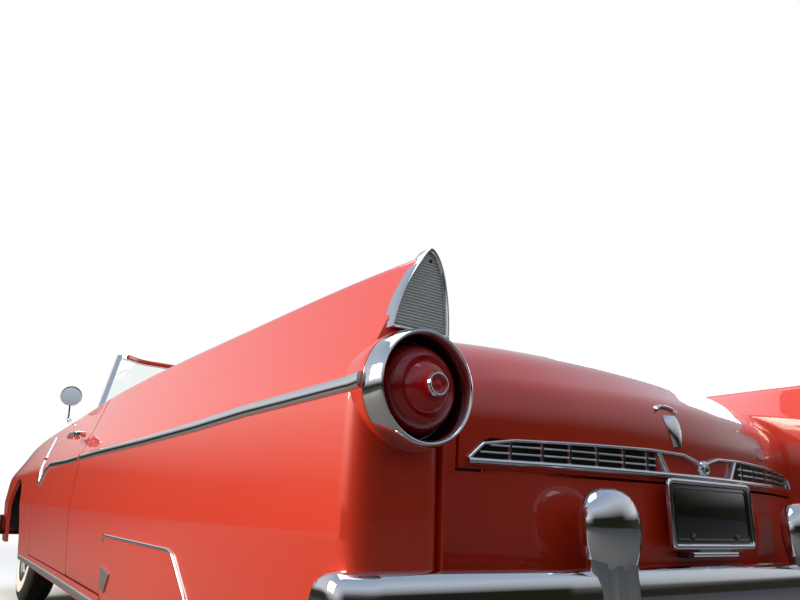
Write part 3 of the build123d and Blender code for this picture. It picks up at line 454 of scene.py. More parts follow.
def bevelled(name, low, high, radius, segments=3):
    """A block between two corners with rounded edges."""
    bpy.ops.mesh.primitive_cube_add(size=1, location=(0, 0, 0))
    piece = bpy.context.object
    piece.name = name
    for vertex in piece.data.vertices:
        vertex.co = [(a + b) / 2 + c * (b - a) for a, b, c in zip(low, high, vertex.co)]
    return modify(piece, "BEVEL", width=radius, segments=segments, limit_method="NONE")


def joined(name, *pieces):
    """Several shapes as one piece."""
    only(*pieces)
    bpy.ops.object.join()
    pieces[0].name = name
    return pieces[0]


def mirrored(piece, name):
    """The same piece on the right side of the car, with its own mesh."""
    twin = piece.copy()
    twin.data = piece.data.copy()
    twin.name = name
    bpy.context.collection.objects.link(twin)
    for vertex in twin.data.vertices:
        vertex.co.y = -vertex.co.y
    twin.data.flip_normals()
    return twin


def both_sides(piece, body, *finishes, replaces=(), **given):
    """Places a left piece and its mirror image; a body ending in left has a right one.

    replaces names the one CAD node that the pair stands for, or the left one and the right one.
    """
    name = piece.name
    twin = mirrored(piece, name + "_right")
    piece.name = name + "_left"
    place(piece, body, *finishes, replaces=replaces[:1], **given)
    place(twin, body.replace("left", "right"), *finishes, replaces=replaces[1:], **given)


def body_name(node):
    """The body that a CAD node belongs to."""
    for body, nodes in frame["record"]["behaviour"]["bodies"].items():
        if node in nodes:
            return body
    raise ValueError(node)


trees = {}


def remember(name, mesh):
    """Keeps a surface for later touches."""
    trees[name] = BVHTree.FromPolygons([v.co.copy() for v in mesh.vertices],
                                       [tuple(p.vertices) for p in mesh.polygons])


def touch(surface, start, towards):
    """Where a straight line from start first meets a CAD node or a remembered surface."""
    if surface not in trees:
        remember(surface, frame["nodes"][surface].data)
    found = trees[surface].ray_cast(Vector(start), Vector(towards))[0]
    if found is None:
        raise ValueError(f"nothing of {surface} at {tuple(start)}")
    return found


def on_side(surface, x, z):
    """The point of a left panel's outer face at a place along and above the ground."""
    return touch(surface, (x, 1.3, z), (0, -1, 0))


def between(points, u):
    """The point at a share u of the way along a list of points, by their lengths."""
    lengths = [hypot(*(b - a for a, b in zip(p, q))) for p, q in zip(points, points[1:])]
    left = u * sum(lengths)
    for p, q, length in zip(points, points[1:], lengths):
        if left <= length or q is points[-1]:
            share = left / length if length else 0
            return tuple(a + (b - a) * share for a, b in zip(p, q))
        left -= length


def curved(points, count):
    """Points along a smooth line through the given ones."""
    made = []
    ends = [points[0]] + list(points) + [points[-1]]
    for i in range(1, len(ends) - 2):
        p0, p1, p2, p3 = ends[i - 1], ends[i], ends[i + 1], ends[i + 2]
        for k in range(count):
            t = k / count
            made.append(tuple(0.5 * (2 * b + (c - a) * t + (2 * a - 5 * b + 4 * c - d) * t * t
                                     + (3 * b - a - 3 * c + d) * t ** 3)
                              for a, b, c, d in zip(p0, p1, p2, p3)))
    made.append(tuple(points[-1]))
    return made


def rounded(points, radii, steps=6):
    """Corners of a closed outline with their corners rounded off."""
    made = []
    count = len(points)
    for i, radius in enumerate(radii):
        corner, before, after = Vector(points[i]), Vector(points[i - 1]), Vector(points[(i + 1) % count])
        one, two = (before - corner).normalized(), (after - corner).normalized()
        if not radius:
            made.append(tuple(corner))
            continue
        half = one.angle(two) / 2
        run = radius / (sin(half) / cos(half))
        start, end = corner + one * run, corner + two * run
        for k in range(steps + 1):
            t = k / steps
            made.append(tuple(start * (1 - t) ** 2 + corner * 2 * t * (1 - t) + end * t * t))
    return made


def filleted(points, radii, steps):
    """Points along an open outline with arcs at its corners.

    steps gives the number of points of each run and arc in turn.
    """
    points = [Vector(p) for p in points]
    runs, arcs = [points[0]], []
    for i, radius in enumerate(radii, 1):
        corner = points[i]
        one, two = (points[i - 1] - corner).normalized(), (points[i + 1] - corner).normalized()
        half = one.angle(two) / 2
        start = corner + one * radius * cos(half) / sin(half)
        end = corner + two * radius * cos(half) / sin(half)
        middle = corner + (one + two).normalized() * radius / sin(half)
        runs += [start, end]
        arcs.append((middle, start - middle, end - middle, pi - 2 * half))
    runs.append(points[-1])
    made = []
    for i, count in enumerate(steps):
        for k in range(count):
            t = k / count
            if i % 2 == 0:
                made.append(runs[i].lerp(runs[i + 1], t))
            else:
                middle, one, two, turn = arcs[i // 2]
                made.append(middle + (one * sin((1 - t) * turn) + two * sin(t * turn)) / sin(turn))
    made.append(points[-1])
    return made


def through(rows, keys, key):
    """A row between rows of points, on smooth lines through them; keys are the rows' own places."""
    i = max(k for k in range(len(keys) - 1) if keys[k] <= key or k == 0)
    gap = keys[i + 1] - keys[i]
    t = (key - keys[i]) / gap
    made = []
    for k in range(len(rows[0])):
        def slope(n):
            low, high = max(n - 1, 0), min(n + 1, len(keys) - 1)
            return (rows[high][k] - rows[low][k]) / (keys[high] - keys[low]) * gap
        one, two = rows[i][k], rows[i + 1][k]
        made.append(one * (2 * t ** 3 - 3 * t ** 2 + 1) + slope(i) * (t ** 3 - 2 * t ** 2 + t)
                    + two * (3 * t ** 2 - 2 * t ** 3) + slope(i + 1) * (t ** 3 - t ** 2))
    return made


def prism(name, outline, low, high, axis):
    """A cutter with a flat outline, drawn out along an axis from low to high."""
    bpy.ops.mesh.primitive_circle_add(vertices=len(outline), radius=1, location=(0, 0, 0))
    piece = bpy.context.object
    piece.name = name
    for vertex, (u, v) in zip(piece.data.vertices, outline):
        vertex.co = (u, low, v) if axis == "Y" else (u, v, low)
    only(piece)
    bpy.ops.object.mode_set(mode="EDIT")
    bpy.ops.mesh.select_all(action="SELECT")
    bpy.ops.mesh.edge_face_add()
    reach = (0, high - low, 0) if axis == "Y" else (0, 0, high - low)
    bpy.ops.mesh.extrude_region_move(TRANSFORM_OT_translate={"value": reach})
    bpy.ops.object.mode_set(mode="OBJECT")
    return close(piece)


def cut(piece, cutter, operation="DIFFERENCE"):
    """Cuts a piece with a cutter and throws the cutter away."""
    modify(piece, "BOOLEAN", object=cutter, operation=operation, solver="EXACT")
    bpy.data.objects.remove(cutter)
    return piece


# Body side stations in millimetres. Columns: x, then y and z of the sill corner, the side crease,
# the moulding line, the fin's ridge and the inner valley, then the ridge radius.
side_stations = [
    (-2500, 902, 392, 938, 600, 934, 846, 774, 1184, 767, 935, 33),
    (-2200, 908, 360, 943, 600, 937, 843, 826, 1108, 745, 985, 24),
    (-1700, 914, 315, 947, 599, 939, 833, 844, 1104, 745, 1012, 30),
    (-1201, 915, 290, 948, 598, 940, 824, 850, 1106, 745, 1028, 34),
    (-500, 910, 285, 948, 597, 940, 815, 852, 1102, 745, 1035, 36),
    (300, 905, 285, 948, 597, 940, 802, 848, 1072, 745, 1026, 40),
]
# Deck sections in millimetres. Columns: y, then x and z of the inboard end, the knee, the top of the
# tail and its foot.
deck_sections = [
    (0, -880, 1058, -2215, 1042, -2450, 880, -2432, 470),
    (370, -880, 1053, -2210, 1040, -2415, 876, -2398, 470),
    (620, -880, 1043, -2198, 1033, -2352, 866, -2334, 470),
    (690, -880, 1035, -2193, 1022, -2345, 860, -2330, 470),
    (790, -880, 1017, -2215, 996, -2452, 846, -2440, 470),
]
# More sizes in millimetres
fender_end_x = -2440
lamp_y, lamp_z = 840, 831
widest_y = 948
seat_bulkhead_x, door_edge_x, door_inner_y = -880, -236, 806
skirt_line = [(-880, 300), (-880, 534), (-1622, 534), (-1742, 424), (-1772, 0)]


class CAR_OT_rear_quarters(bpy.types.Operator):
    """Lofts the rear quarter panels with their fins, ends and lamp pods."""
    bl_idname = "car.rear_quarters"
    bl_label = "Rear quarter panels"

    def execute(self, context):
        end_radius, cabin_side_top_z, sill_top_z = 60, 1040, 345
        # Below tuck_z the end slants forward, by tuck_run over tuck_fall
        tuck_z, tuck_run, tuck_fall = 500, 70, 200
        rings = []
        for x, sy, sz, cy, cz, my, mz, ry, rz, vy, vz, radius in side_stations:
            outline = [(sy, sz), (cy, cz), (my, mz), (ry, rz), (vy, vz), (vy - 0.5, 470)]
            line = filleted(outline, (90, 160, radius, 18), (8, 8, 8, 8, 16, 12, 5, 4, 10))
            rings.append([Vector((p.x, p.y)) for p in line])
        stations = [row[0] for row in side_stations]
        xs = [-2440, -2437, -2431, -2422, -2410, -2395, -2380, -2360]
        xs += [-2340 + 26 * i for i in range(57)] + [-872, -860, -840]
        xs += [-815 + 26 * i for i in range(23)] + [door_edge_x]
        rows = []
        for x in xs:
            row = []
            depth = x - fender_end_x
            for p in through(rings, stations, x):
                y, z, px = p.x, p.y, x
                if depth < end_radius:
                    short = end_radius - depth
                    y = min(y, widest_y - end_radius + sqrt(end_radius ** 2 - short ** 2))
                if x > seat_bulkhead_x:
                    y = max(y, door_inner_y)
                    if y == door_inner_y:
                        z = min(z, cabin_side_top_z)
                    z = max(z, sill_top_z)
                if z < tuck_z and depth < tuck_run:
                    px = max(px, fender_end_x + tuck_run * (tuck_z - z) / tuck_fall)
                row.append(mm(px, y, z))
            rows.append(row)
        shell = lofted("quarter_skin", rows)
        remember("quarter", shell.data)
        top = max(shell.data.polygons, key=lambda face: face.center.z)
        if top.normal.z < 0:
            shell.data.flip_normals()
        modify(shell, "SOLIDIFY", thickness=0.004, offset=-1)
        opening = mm_points(filleted(skirt_line, (30, 90, 90), (2, 8, 2, 8, 2, 6, 2)))
        opening += [mm(-1790, 200), mm(-880, 200)]
        cut(shell, prism("wheel_opening", opening, 0.70, 1.2, "Y"))
        shell.name = "quarter_surface"

        end = [(p[1], p[2]) for p in rows[0]]
        ridge = max(range(len(end)), key=lambda k: end[k][1])
        outer, inner = end[:ridge + 1], end[ridge:]

        def width_at(line, z):
            for (y0, z0), (y1, z1) in zip(line, line[1:]):
                if min(z0, z1) <= z <= max(z0, z1) and z0 != z1:
                    return y0 + (y1 - y0) * (z - z0) / (z1 - z0)
            return line[0][0] if abs(line[0][1] - z) < abs(line[-1][1] - z) else line[-1][0]
        cap_foot_z, inner_foot_z, inner_round = 0.36, 0.4702, 0.03
        cap_rows = []
        for i in range(61):
            z = cap_foot_z + (end[ridge][1] - 0.001 - cap_foot_z) * i / 60
            first, last = width_at(outer, z), width_at(inner, max(z, inner_foot_z))
            row = []
            for k in range(17):
                y = first + (last - first) * k / 16
                inset = max(0, inner_round - (y - last)) if z < lamp_z / 1000 else 0
                x = fender_end_x / 1000 + 0.0006 + inner_round - sqrt(inner_round ** 2 - inset ** 2)
                if z < tuck_z / 1000:
                    x += tuck_run / 1000 * (tuck_z / 1000 - z) / (tuck_fall / 1000)
                row.append((x, y, z))
            cap_rows.append(row)
        end_cap = lofted("quarter_end", cap_rows)
        both_sides(end_cap, "body", "enamel_paint", smooth=35)
        both_sides(shell, "body", "enamel_paint", smooth=32,
                   replaces=("quarter_panel_left", "quarter_panel_right"))

        pod = lathe("lamp_pod", ((-2350, 60), (-2350, 85), (-2372, 90), (-2400, 95), (-2430, 99),
                                 (-2446, 101), (-2451, 100.4), (-2453, 98), (-2453, 89), (-2441, 88),
                                 (-2441, 60)), mm(0, lamp_y, lamp_z), (1, 0, 0), 96)
        both_sides(pod, "body", "enamel_paint", smooth=35)
        return {"FINISHED"}


class CAR_OT_deck(bpy.types.Operator):
    """Lofts the deck over the trunk, parts it into the lid and the panels round it, and adds the hinges."""
    bl_idname = "car.deck"
    bl_label = "Deck and trunk lid"

    def execute(self, context):
        well_rear_x, lid_front_x, lid_half_width = -1250, -1345, 645
        sections = [(-row[0],) + row[1:] for row in reversed(deck_sections[1:])] + deck_sections
        rings = []
        for y, x0, z0, x1, z1, x2, z2, x3, z3 in sections:
            start_z = z0 + (z1 - z0) * ((well_rear_x - x0) / (x1 - x0))
            line = filleted([(well_rear_x, start_z), (x1, z1), (x2, z2), (x3, z3)], (360, 130),
                            (22, 16, 4, 12, 14))
            rings.append([Vector((p.x, p.y)) for p in line])
        keys = [row[0] for row in sections]
        ys = [-768 + 1536 * i / 96 for i in range(97)]
        rows = [[mm(p.x, y, p.y) for p in through(rings, keys, y)] for y in ys]
        deck = lofted("deck", rows)
        top = max(deck.data.polygons, key=lambda face: face.center.z)
        if top.normal.z < 0:
            deck.data.flip_normals()
        remember("deck", deck.data)
        modify(deck, "SOLIDIFY", thickness=0.018, offset=-1)
        lid = bpy.data.objects.new("lid_surface", deck.data.copy())
        context.collection.objects.link(lid)

        def outline(grow):
            half, front = lid_half_width + grow, lid_front_x + grow
            corners = filleted([(-2700, -half), (front, -half), (front, half), (-2700, half)],
                               (90 + grow, 90 + grow), (1, 10, 1, 10, 1))
            return mm_points(corners)
        cut(lid, prism("lid_zone", outline(0), 0.722, 1.5, "Z"), "INTERSECT")
        cut(deck, prism("lid_hole", outline(6), 0.716, 1.5, "Z"))
        deck.name = "deck_surface"
        place(deck, "body", "enamel_paint", smooth=32, replaces=("back_panels",))
        place(lid, "trunk_lid", "enamel_paint", smooth=32, replaces=("trunk_lid",))
        lug = bevelled("plate_hinge_bracket", mm(-2462, 90, 566), mm(-2425, 104, 576), 0.002)
        both_sides(lug, "body", "chassis_black")
        arm = joined("lid_hinge_arm", bevelled("arm", (-1.41, 0.08, 0.985), (-1.32, 0.10, 1.0), 0.003),
                     bevelled("foot", (-1.34, 0.07, 0.985), (-1.325, 0.11, 1.025), 0.003))
        both_sides(arm, "body", "chassis_black")
        return {"FINISHED"}


class CAR_OT_painted_nodes(bpy.types.Operator):
    """Gives the solids that stay as they are their finishes."""
    bl_idname = "car.painted_nodes"
    bl_label = "Solids kept from the source"

    finishes = { "enamel_paint": ("door_left", "door_right", "front_fender_left", "front_fender_right",
                                  "sills", "hood", "cowl", "fender_skirts", "front_panel",
                                  "dashboard_and_column"), "chassis_black": ("chassis_frame",
                                                                             "trunk_floor",
                                                                             "rear_axle_and_springs",
                                                                             "front_suspension",
                                                                             "knuckle_left",
                                                                             "knuckle_right"),
                "cast_iron": ("engine_and_radiator",), "galvanised_steel": ("exhaust_and_tank",),
                "loop_carpet": ("floor_pan",), "chrome_plate": ("grille", "front_bumper", "plate_flap",
                                                                "windshield_frame", "mirror"),
                "clear_glass": ("windshield_glass",), "wheel_plastic": ("steering_wheel",),
                "wheel_enamel": ("wheel_front_left", "wheel_front_right", "wheel_rear_left",
                                 "wheel_rear_right"), }

    def execute(self, context):
        for name, nodes in self.finishes.items():
            for node in nodes:
                mesh = frame["nodes"][node].data
                mesh.materials.clear()
                mesh.materials.append(materials[name])
        return {"FINISHED"}


class CAR_OT_tail_lamps(bpy.types.Operator):
    """Turns the tail lamps, and makes the clear lamps in the ends of the fins."""
    bl_idname = "car.tail_lamps"
    bl_label = "Tail lamps"

    def execute(self, context):
        centre = mm(0, lamp_y, lamp_z)
        lip = [(-2488 - 9 * sin(pi * i / 10), 96 - 11 * (i / 10)) for i in range(11)]
        ring = lathe("lamp_ring", [(-2450, 99.5), (-2470, 98.4)] + lip + [(-2470, 83.6), (-2450, 82)],
                     centre, (1, 0, 0), 96)
        both_sides(ring, "body", "chrome_plate", smooth=40, replaces=("tail_lamp_bezels",))

        def arc(start, through_point, end, count=8):
            (x0, y0), (x1, y1), (x2, y2) = start, through_point, end
            return [((1 - t) ** 2 * x0 + 2 * t * (1 - t) * (2 * x1 - (x0 + x2) / 2) + t * t * x2,
                     (1 - t) ** 2 * y0 + 2 * t * (1 - t) * (2 * y1 - (y0 + y2) / 2) + t * t * y2)
                    for t in [k / count for k in range(count + 1)]]
        dome = arc((-2446, 77), (-2474, 69.5), (-2491, 51))
        step = arc((-2487, 46), (-2500, 36), (-2506, 22))
        lens = lathe("lamp_lens", [(-2436, 0), (-2436, 80), (-2446, 80)] + dome + step + [(-2507, 0)],
                     centre, (1, 0, 0), 96)
        both_sides(lens, "body", "red_acrylic", smooth=28, replaces=("rear_lamp_lenses",))
        button = lathe("lamp_button", ((-2504, 0), (-2504, 20.5), (-2516, 20.5), (-2519.5, 18.5),
                                       (-2519.8, 16), (-2517, 14), (-2515.5, 9), (-2517.5, 7),
                                       (-2518.5, 0)), centre, (1, 0, 0), 48)
        both_sides(button, "body", "red_acrylic", smooth=28)
        rim = lathe("lamp_button_rim", ((-2517, 14.6), (-2520.4, 15.4), (-2521, 17), (-2520.4, 19),
                                        (-2517, 20.2)), centre, (1, 0, 0), 48)
        both_sides(rim, "body", "chrome_plate", smooth=50)
        # Black ring in the gap between lens and bezel: painted shade of the recess round the lens
        well = lathe("lamp_well_painted_shade", ((-2442, 76), (-2442, 84), (-2480, 85.6), (-2480, 84.6), (-2446, 81),
                                   (-2446, 76)), centre, (1, 0, 0), 64)
        both_sides(well, "body", "black_enamel", slot="lamp_red", smooth=30)

        arch = [(889, 931), (882, 958), (869, 996), (852, 1030), (832, 1063), (819, 1082), (809, 1091),
                (798, 1087), (785, 1069), (775, 1040), (768, 1000), (765, 960), (765, 931)]
        shape = curved(mm_points(arch), 5)

        def shrunk(amount, sink):
            return [(-2.440 - sink / 1000, 0.827 + (y - 0.827) * (1 - amount / 58),
                     1.006 + (z - 1.006) * (1 - amount / 78)) for y, z in shape]
        rows = [shrunk(a, s) for a, s in ((-1.5, -14), (-2, 6), (-1, 11), (1.5, 13.5), (4, 13), (6, 10),
                                          (7, 3), (7, -4), (2, -14), (-1.5, -14))]
        rim_piece = lofted("fin_lamp_frame", [row + row[:1] for row in rows])
        both_sides(rim_piece, "body", "chrome_plate", smooth=40)
        lens_rows = [shrunk(a, s) for a, s in ((5, -8), (5, 3), (7, 6), (12, 7))]
        glass = lofted("fin_lamp_glass", [row + row[:1] for row in lens_rows], caps=True)
        both_sides(glass, "body", "ribbed_glass", smooth=35)
        screw = lathe("fin_lamp_screw", ((-2446, 0), (-2446, 3.4), (-2448.5, 3), (-2449.5, 0)),
                      mm(0, 806, 1068), (1, 0, 0), 16)
        both_sides(screw, "body", "chassis_black")
        return {"FINISHED"}


class CAR_OT_rear_bumper(bpy.types.Operator):
    """Sweeps the rear bumper bar and adds its domed and fluted guards."""
    bl_idname = "car.rear_bumper"
    bl_label = "Rear bumper"

    def execute(self, context):
        end_x, half, low = -2499, 964, 418
        plan = [(end_x + 140, half - 4), (end_x + 62, half), (end_x + 30, half - 59), (end_x, 520),
                (end_x, -520), (end_x + 30, 59 - half), (end_x + 62, -half), (end_x + 140, 4 - half)]
        line = filleted(plan, (40, 60, 300, 300, 60, 40), (5, 6, 2, 8, 8, 12, 24, 12, 8, 8, 2, 6, 5))
        section = [(-32, 3), (-16, 0), (-6, 6), (-1.5, 26), (0, 66), (-1.5, 104), (-6, 121), (-14, 130),
                   (-26, 134.5), (-44, 135), (-44, 131), (-28, 130), (-16, 125), (-9, 116), (-5, 100),
                   (-4, 66), (-6, 28), (-12, 10), (-32, 8), (-32, 3)]
        tip_x, height, top_round, foot_round = end_x + 140, 135, 52, 24
        rows = []
        for i, p in enumerate(line):
            before, after = line[max(i - 1, 0)], line[min(i + 1, len(line) - 1)]
            run = (after - before).normalized()
            outward = Vector((run.y, -run.x))
            if outward.x > 0.2 or (abs(outward.x) <= 0.2 and outward.y * p.y < 0):
                outward = -outward
            depth = max(tip_x - p.x, 0)
            top, foot = height, 0
            if depth < top_round:
                top = height - top_round + sqrt(top_round ** 2 - (top_round - depth) ** 2)
            if depth < foot_round:
                foot = foot_round - sqrt(foot_round ** 2 - (foot_round - depth) ** 2)
            rows.append([mm(p.x + outward.x * h, p.y + outward.y * h, low + min(max(z, foot), top))
                         for h, z in section])
        bar = lofted("rear_bumper_bar", rows, caps=True)
        place(bar, "body", "chrome_plate", smooth=38, replaces=("rear_bumper",))

        guard_x, guard_y, guard_top_z = -2479, 386, 697
        dome = [(0, 0), (1.5, 22), (7, 42), (17, 58), (31, 69), (46, 76), (60, 78), (82, 78), (100, 76),
                (120, 71), (136, 63), (146, 54), (146, 0)]
        head = lathe("guard_head", [(guard_top_z - drop, r) for drop, r in dome], (0, 0, 0), (0, 0, 1),
                     72)
        for vertex in head.data.vertices:
            vertex.co = (vertex.co.x * 42 / 78 + guard_x / 1000, vertex.co.y + guard_y / 1000, vertex.co.z)
        rings = []
        for z, grow in ((404, 0.92), (410, 1.0), (470, 1.0), (530, 1.0), (575, 1.0)):
            ring = []
            for i in range(97):
                turn = 2 * pi * i / 96
                across, forward = cos(turn), sin(turn)
                fluted = forward <= 0 and abs(across) < 0.9
                groove = 5.5 * max(0, cos(across * pi * 3.9)) ** 0.7 if fluted else 0
                ring.append(mm(guard_x + (33 * forward + groove) * grow, guard_y + 67 * across * grow, z))
            rings.append(ring)
        column = lofted("guard_column", rings, caps=True)
        guard = joined("bumper_guard", head, column)
        both_sides(guard, "body", "chrome_plate", smooth=38)
        return {"FINISHED"}


# Side moulding in millimetres along and above the ground
moulding_line = [(-2449, 846), (-2219, 843), (-1988, 841), (-1678, 832), (-1235, 825), (-551, 820),
                 (66, 810), (526, 811), (640, 782), (787, 707)]
moulding_front = [(787, 707), (850, 792), (920, 872), (1002, 958)]


class CAR_OT_side_trim(bpy.types.Operator):
    """Lays the side mouldings, skirt beads, stone guards and rocker strips, and makes the door handles."""
    bl_idname = "car.side_trim"
    bl_label = "Side trim"

    def strip(self, name, surface, body, points, width, height):
        # Behind the rounded end of the quarter panel the strip goes on over the lamp's pod
        def spot(x, z):
            if surface != "quarter":
                return on_side(surface, x, z)
            found = on_side(surface, max(x, -2.4385), z)
            if x < -2.36:
                found.y = max(found.y, lamp_y / 1000 + 0.085 + 0.016 * (-2.35 - x) / 0.102)
            found.x = x
            return found
        path = [spot(*mm(x, z)) for x, z in points]
        piece = swept(name, path, (0, 1, 0), crowned(width, height))
        both_sides(piece, body, "chrome_plate", smooth=50)

    def execute(self, context):
        width = context.scene.car.moulding_width

        def part(line, low, high, step=40):
            total = sum(hypot(b[0] - a[0], b[1] - a[1]) for a, b in zip(line, line[1:]))
            count = int(total / step) * 2
            points = [between(line, i / count) for i in range(count + 1)]
            return [p for p in points if low < p[0] < high]
        lowered = [(x, z - 11) for x, z in moulding_line]
        self.strip("quarter_moulding", "quarter", "body", part(lowered, -2450, -238), width, 0.008)
        self.strip("door_moulding", "door_left", "door_left", part(lowered, -228, 776), width, 0.008)
        self.strip("door_vee", "door_left", "door_left", part(moulding_front, 786, 879, 6), width * 1.5,
                   0.009)
        self.strip("fender_vee", "front_fender_left", "body", part(moulding_front, 889, 1003, 6),
                   width * 1.5, 0.009)

        bead = filleted([(-886, 452), (-886, 528), (-1618, 528), (-1735, 421), (-1745, 380)], (26, 84, 84),
                        (3, 6, 20, 8, 5, 6, 3))
        path = [on_side("fender_skirts", p.x / 1000, p.y / 1000) for p in bead
                if -1.738 < p.x / 1000 < -0.8861]
        both_sides(swept("skirt_bead", path, (0, 1, 0), crowned(0.009, 0.005)), "body", "chrome_plate",
                   smooth=50)

        guard_rows = []
        for i in range(9):
            t = i / 8
            row = []
            for k in range(9):
                u = k / 8
                x = -884 - u * (118 - 60 * t)
                z = 434 - 60 * t - 16 * u
                y = on_side("fender_skirts", x / 1000, z / 1000).y
                row.append((x / 1000, y + 0.003 + 0.004 * sin(pi * u) * sin(pi * t), z / 1000))
            guard_rows.append(row)
        guard = lofted("stone_guard", guard_rows)
        modify(guard, "SOLIDIFY", thickness=0.004, offset=0)
        both_sides(guard, "body", "brushed_aluminium")

        rocker = [on_side("sills", x / 1000, 0.304) for x in range(-850, 1310, 60)]
        both_sides(swept("rocker_strip", rocker, (0, 1, -0.1), crowned(0.026, 0.006)), "body",
                   "brushed_aluminium", smooth=50)

        grip_line = mm_points([(-178, 966, 905), (-165, 970, 905), (-120, 972, 906), (-70, 970, 905),
                               (-50, 966, 905)])
        grip_section = mm_points([(-6, -10), (-6, 6), (0, 10), (6, 6), (6, -10), (-6, -10)])
        grip = swept("door_grip", grip_line, (0, 0, 1), grip_section)
        seats = [bevelled("pad", (x - 0.016, 0.925, 0.893), (x + 0.016, 0.968, 0.917), 0.006)
                 for x in (-0.178, -0.05)]
        push = lathe("push", ((925, 0), (925, 12), (966, 12), (970, 10), (972, 0)), mm(-15, 0, 905),
                     (0, 1, 0), 24)
        both_sides(joined("door_handle", grip, *seats, push), "door_left", "chrome_plate", smooth=40)
        return {"FINISHED"}


def on_tail(y, z, proud=0.0):
    """A point on the tail panel or lid, in metres."""
    return Vector((touch("deck", (-3, y, z), (1, 0, 0)).x - proud, y, z))


class CAR_OT_deck_trim(bpy.types.Operator):
    """Makes the bright bar on the trunk lid, its lock and shield, and the plate with the holder's rim."""
    bl_idname = "car.deck_trim"
    bl_label = "Deck ornament and plate"

    def execute(self, context):
        top_line = [(630, 740), (618, 752), (599, 770), (534, 780), (355, 784), (184, 787), (71, 784),
                    (30, 774), (0, 762)]
        full = mm_points(top_line + [(-y, z) for y, z in reversed(top_line[:-1])])
        path = [on_tail(*between(full, i / 120)) for i in range(121)]
        rim = swept("rim", path, (-1, 0, 0), crowned(0.007, 0.011))
        low_line = [(0.632 - 1.264 * i / 90, 0.7365) for i in range(91)]
        low = swept("low", [on_tail(*p) for p in low_line], (-1, 0, 0), crowned(0.014, 0.015))
        bars = []
        for sign in (1, -1):
            for z, start in ((0.7545, 0.606), (0.7685, 0.585)):
                line = [on_tail(sign * (start + (0.170 - start) * i / 30), z) for i in range(31)]
                bars.append(swept("bar", line, (-1, 0, 0), crowned(0.0048, 0.0085)))
            for y in (0.541, 0.472, 0.408, 0.339, 0.265, 0.195):
                line = [on_tail(sign * y, z) for z in (0.740, 0.7605, 0.781)]
                bars.append(swept("post", line, (-1, 0, 0), crowned(0.0075, 0.0095)))
            line = [on_tail(sign * (0.158 - 0.03 * i / 4), 0.784 - 0.046 * i / 4) for i in range(5)]
            bars.append(swept("slant", line, (-1, 0, 0), crowned(0.010, 0.011)))
        place(joined("deck_ornament", rim, low, *bars), "trunk_lid", "chrome_plate", smooth=50)
        for sign, side in ((1, "left"), (-1, "right")):
            rows = []
            for i in range(41):
                y = 0.615 - 0.45 * i / 40
                high = min(0.782, 0.742 + 0.9 * (0.632 - y))
                rows.append([on_tail(sign * y, 0.740 + (high - 0.740) * k / 6, 0.0022) for k in range(7)])
            back = lofted(f"ornament_backing_{side}", rows)
            modify(back, "SOLIDIFY", thickness=0.0016, offset=0)
            place(back, "trunk_lid", "black_enamel")

        spot = on_tail(-0.011, 0.759)
        lock = lathe("lid_lock", ((6, 0), (6, 19), (-5, 18.5), (-9, 16), (-10.5, 12), (-9, 9.5),
                                  (-11.5, 8.5), (-12, 0)), (spot.x, spot.y, spot.z), (1, 0, 0), 40)
        place(lock, "trunk_lid", "chrome_plate", smooth=35)
        crest_rows = []
        for i in range(13):
            t = i / 12
            wide = 0.026 * (1 - 0.55 * t * t) * (0.82 + 0.18 * min(1, 8 * t))
            z = 0.872 - 0.072 * t
            crest_rows.append([on_tail(0.085 + wide * u, z, 0.001 + 0.0075 * sqrt(max(0, 1 - u * u)))
                               for u in (-1, -0.9, -0.6, -0.3, 0, 0.3, 0.6, 0.9, 1)])
        crest = lofted("plain_shield", crest_rows)
        modify(crest, "SOLIDIFY", thickness=0.003, offset=-1)
        place(crest, "trunk_lid", "chrome_plate", smooth=50)
        turns = [pi * i / 12 for i in range(13)]
        arch = swept("crest_arch", [on_tail(0.085 + 0.034 * cos(t), 0.884 + 0.012 * sin(t)) for t in turns],
                     (-1, 0, 0), crowned(0.008, 0.008))
        place(arch, "trunk_lid", "chrome_plate", smooth=50)

        border = rounded(mm_points([(-162, 590), (162, 590), (162, 724), (-162, 724)]), [0.012] * 4)
        rim_path = [Vector((-2.4652, y, z)) for y, z in border]
        frame_rim = swept("plate_holder_rim", rim_path, (-1, 0, 0), crowned(0.011, 0.006, 0.002),
                          closed=True)
        place(frame_rim, "plate_flap", "chrome_plate", smooth=50)
        plate = bevelled("blank_plate", mm(-2466.5, -154, 597), mm(-2463.5, 154, 717), 0.001)
        edge = rounded(mm_points([(-146, 604), (146, 604), (146, 710), (-146, 710)]), [0.01] * 4)
        bead = swept("bead", [Vector((-2.4668, y, z)) for y, z in edge], (-1, 0, 0),
                     crowned(0.0035, 0.0012, 0.001), closed=True)
        place(joined("blank_plate", plate, bead), "plate_flap", "black_enamel", smooth=40)
        bolts = [lathe("bolt", ((-2464, 0), (-2464, 6.5), (-2470, 6.5), (-2471.5, 5), (-2472, 0)),
                       mm(0, y, 610), (1, 0, 0), 6) for y in (-89, 89)]
        place(joined("plate_bolts", *bolts), "plate_flap", "galvanised_steel", smooth=30)
        return {"FINISHED"}


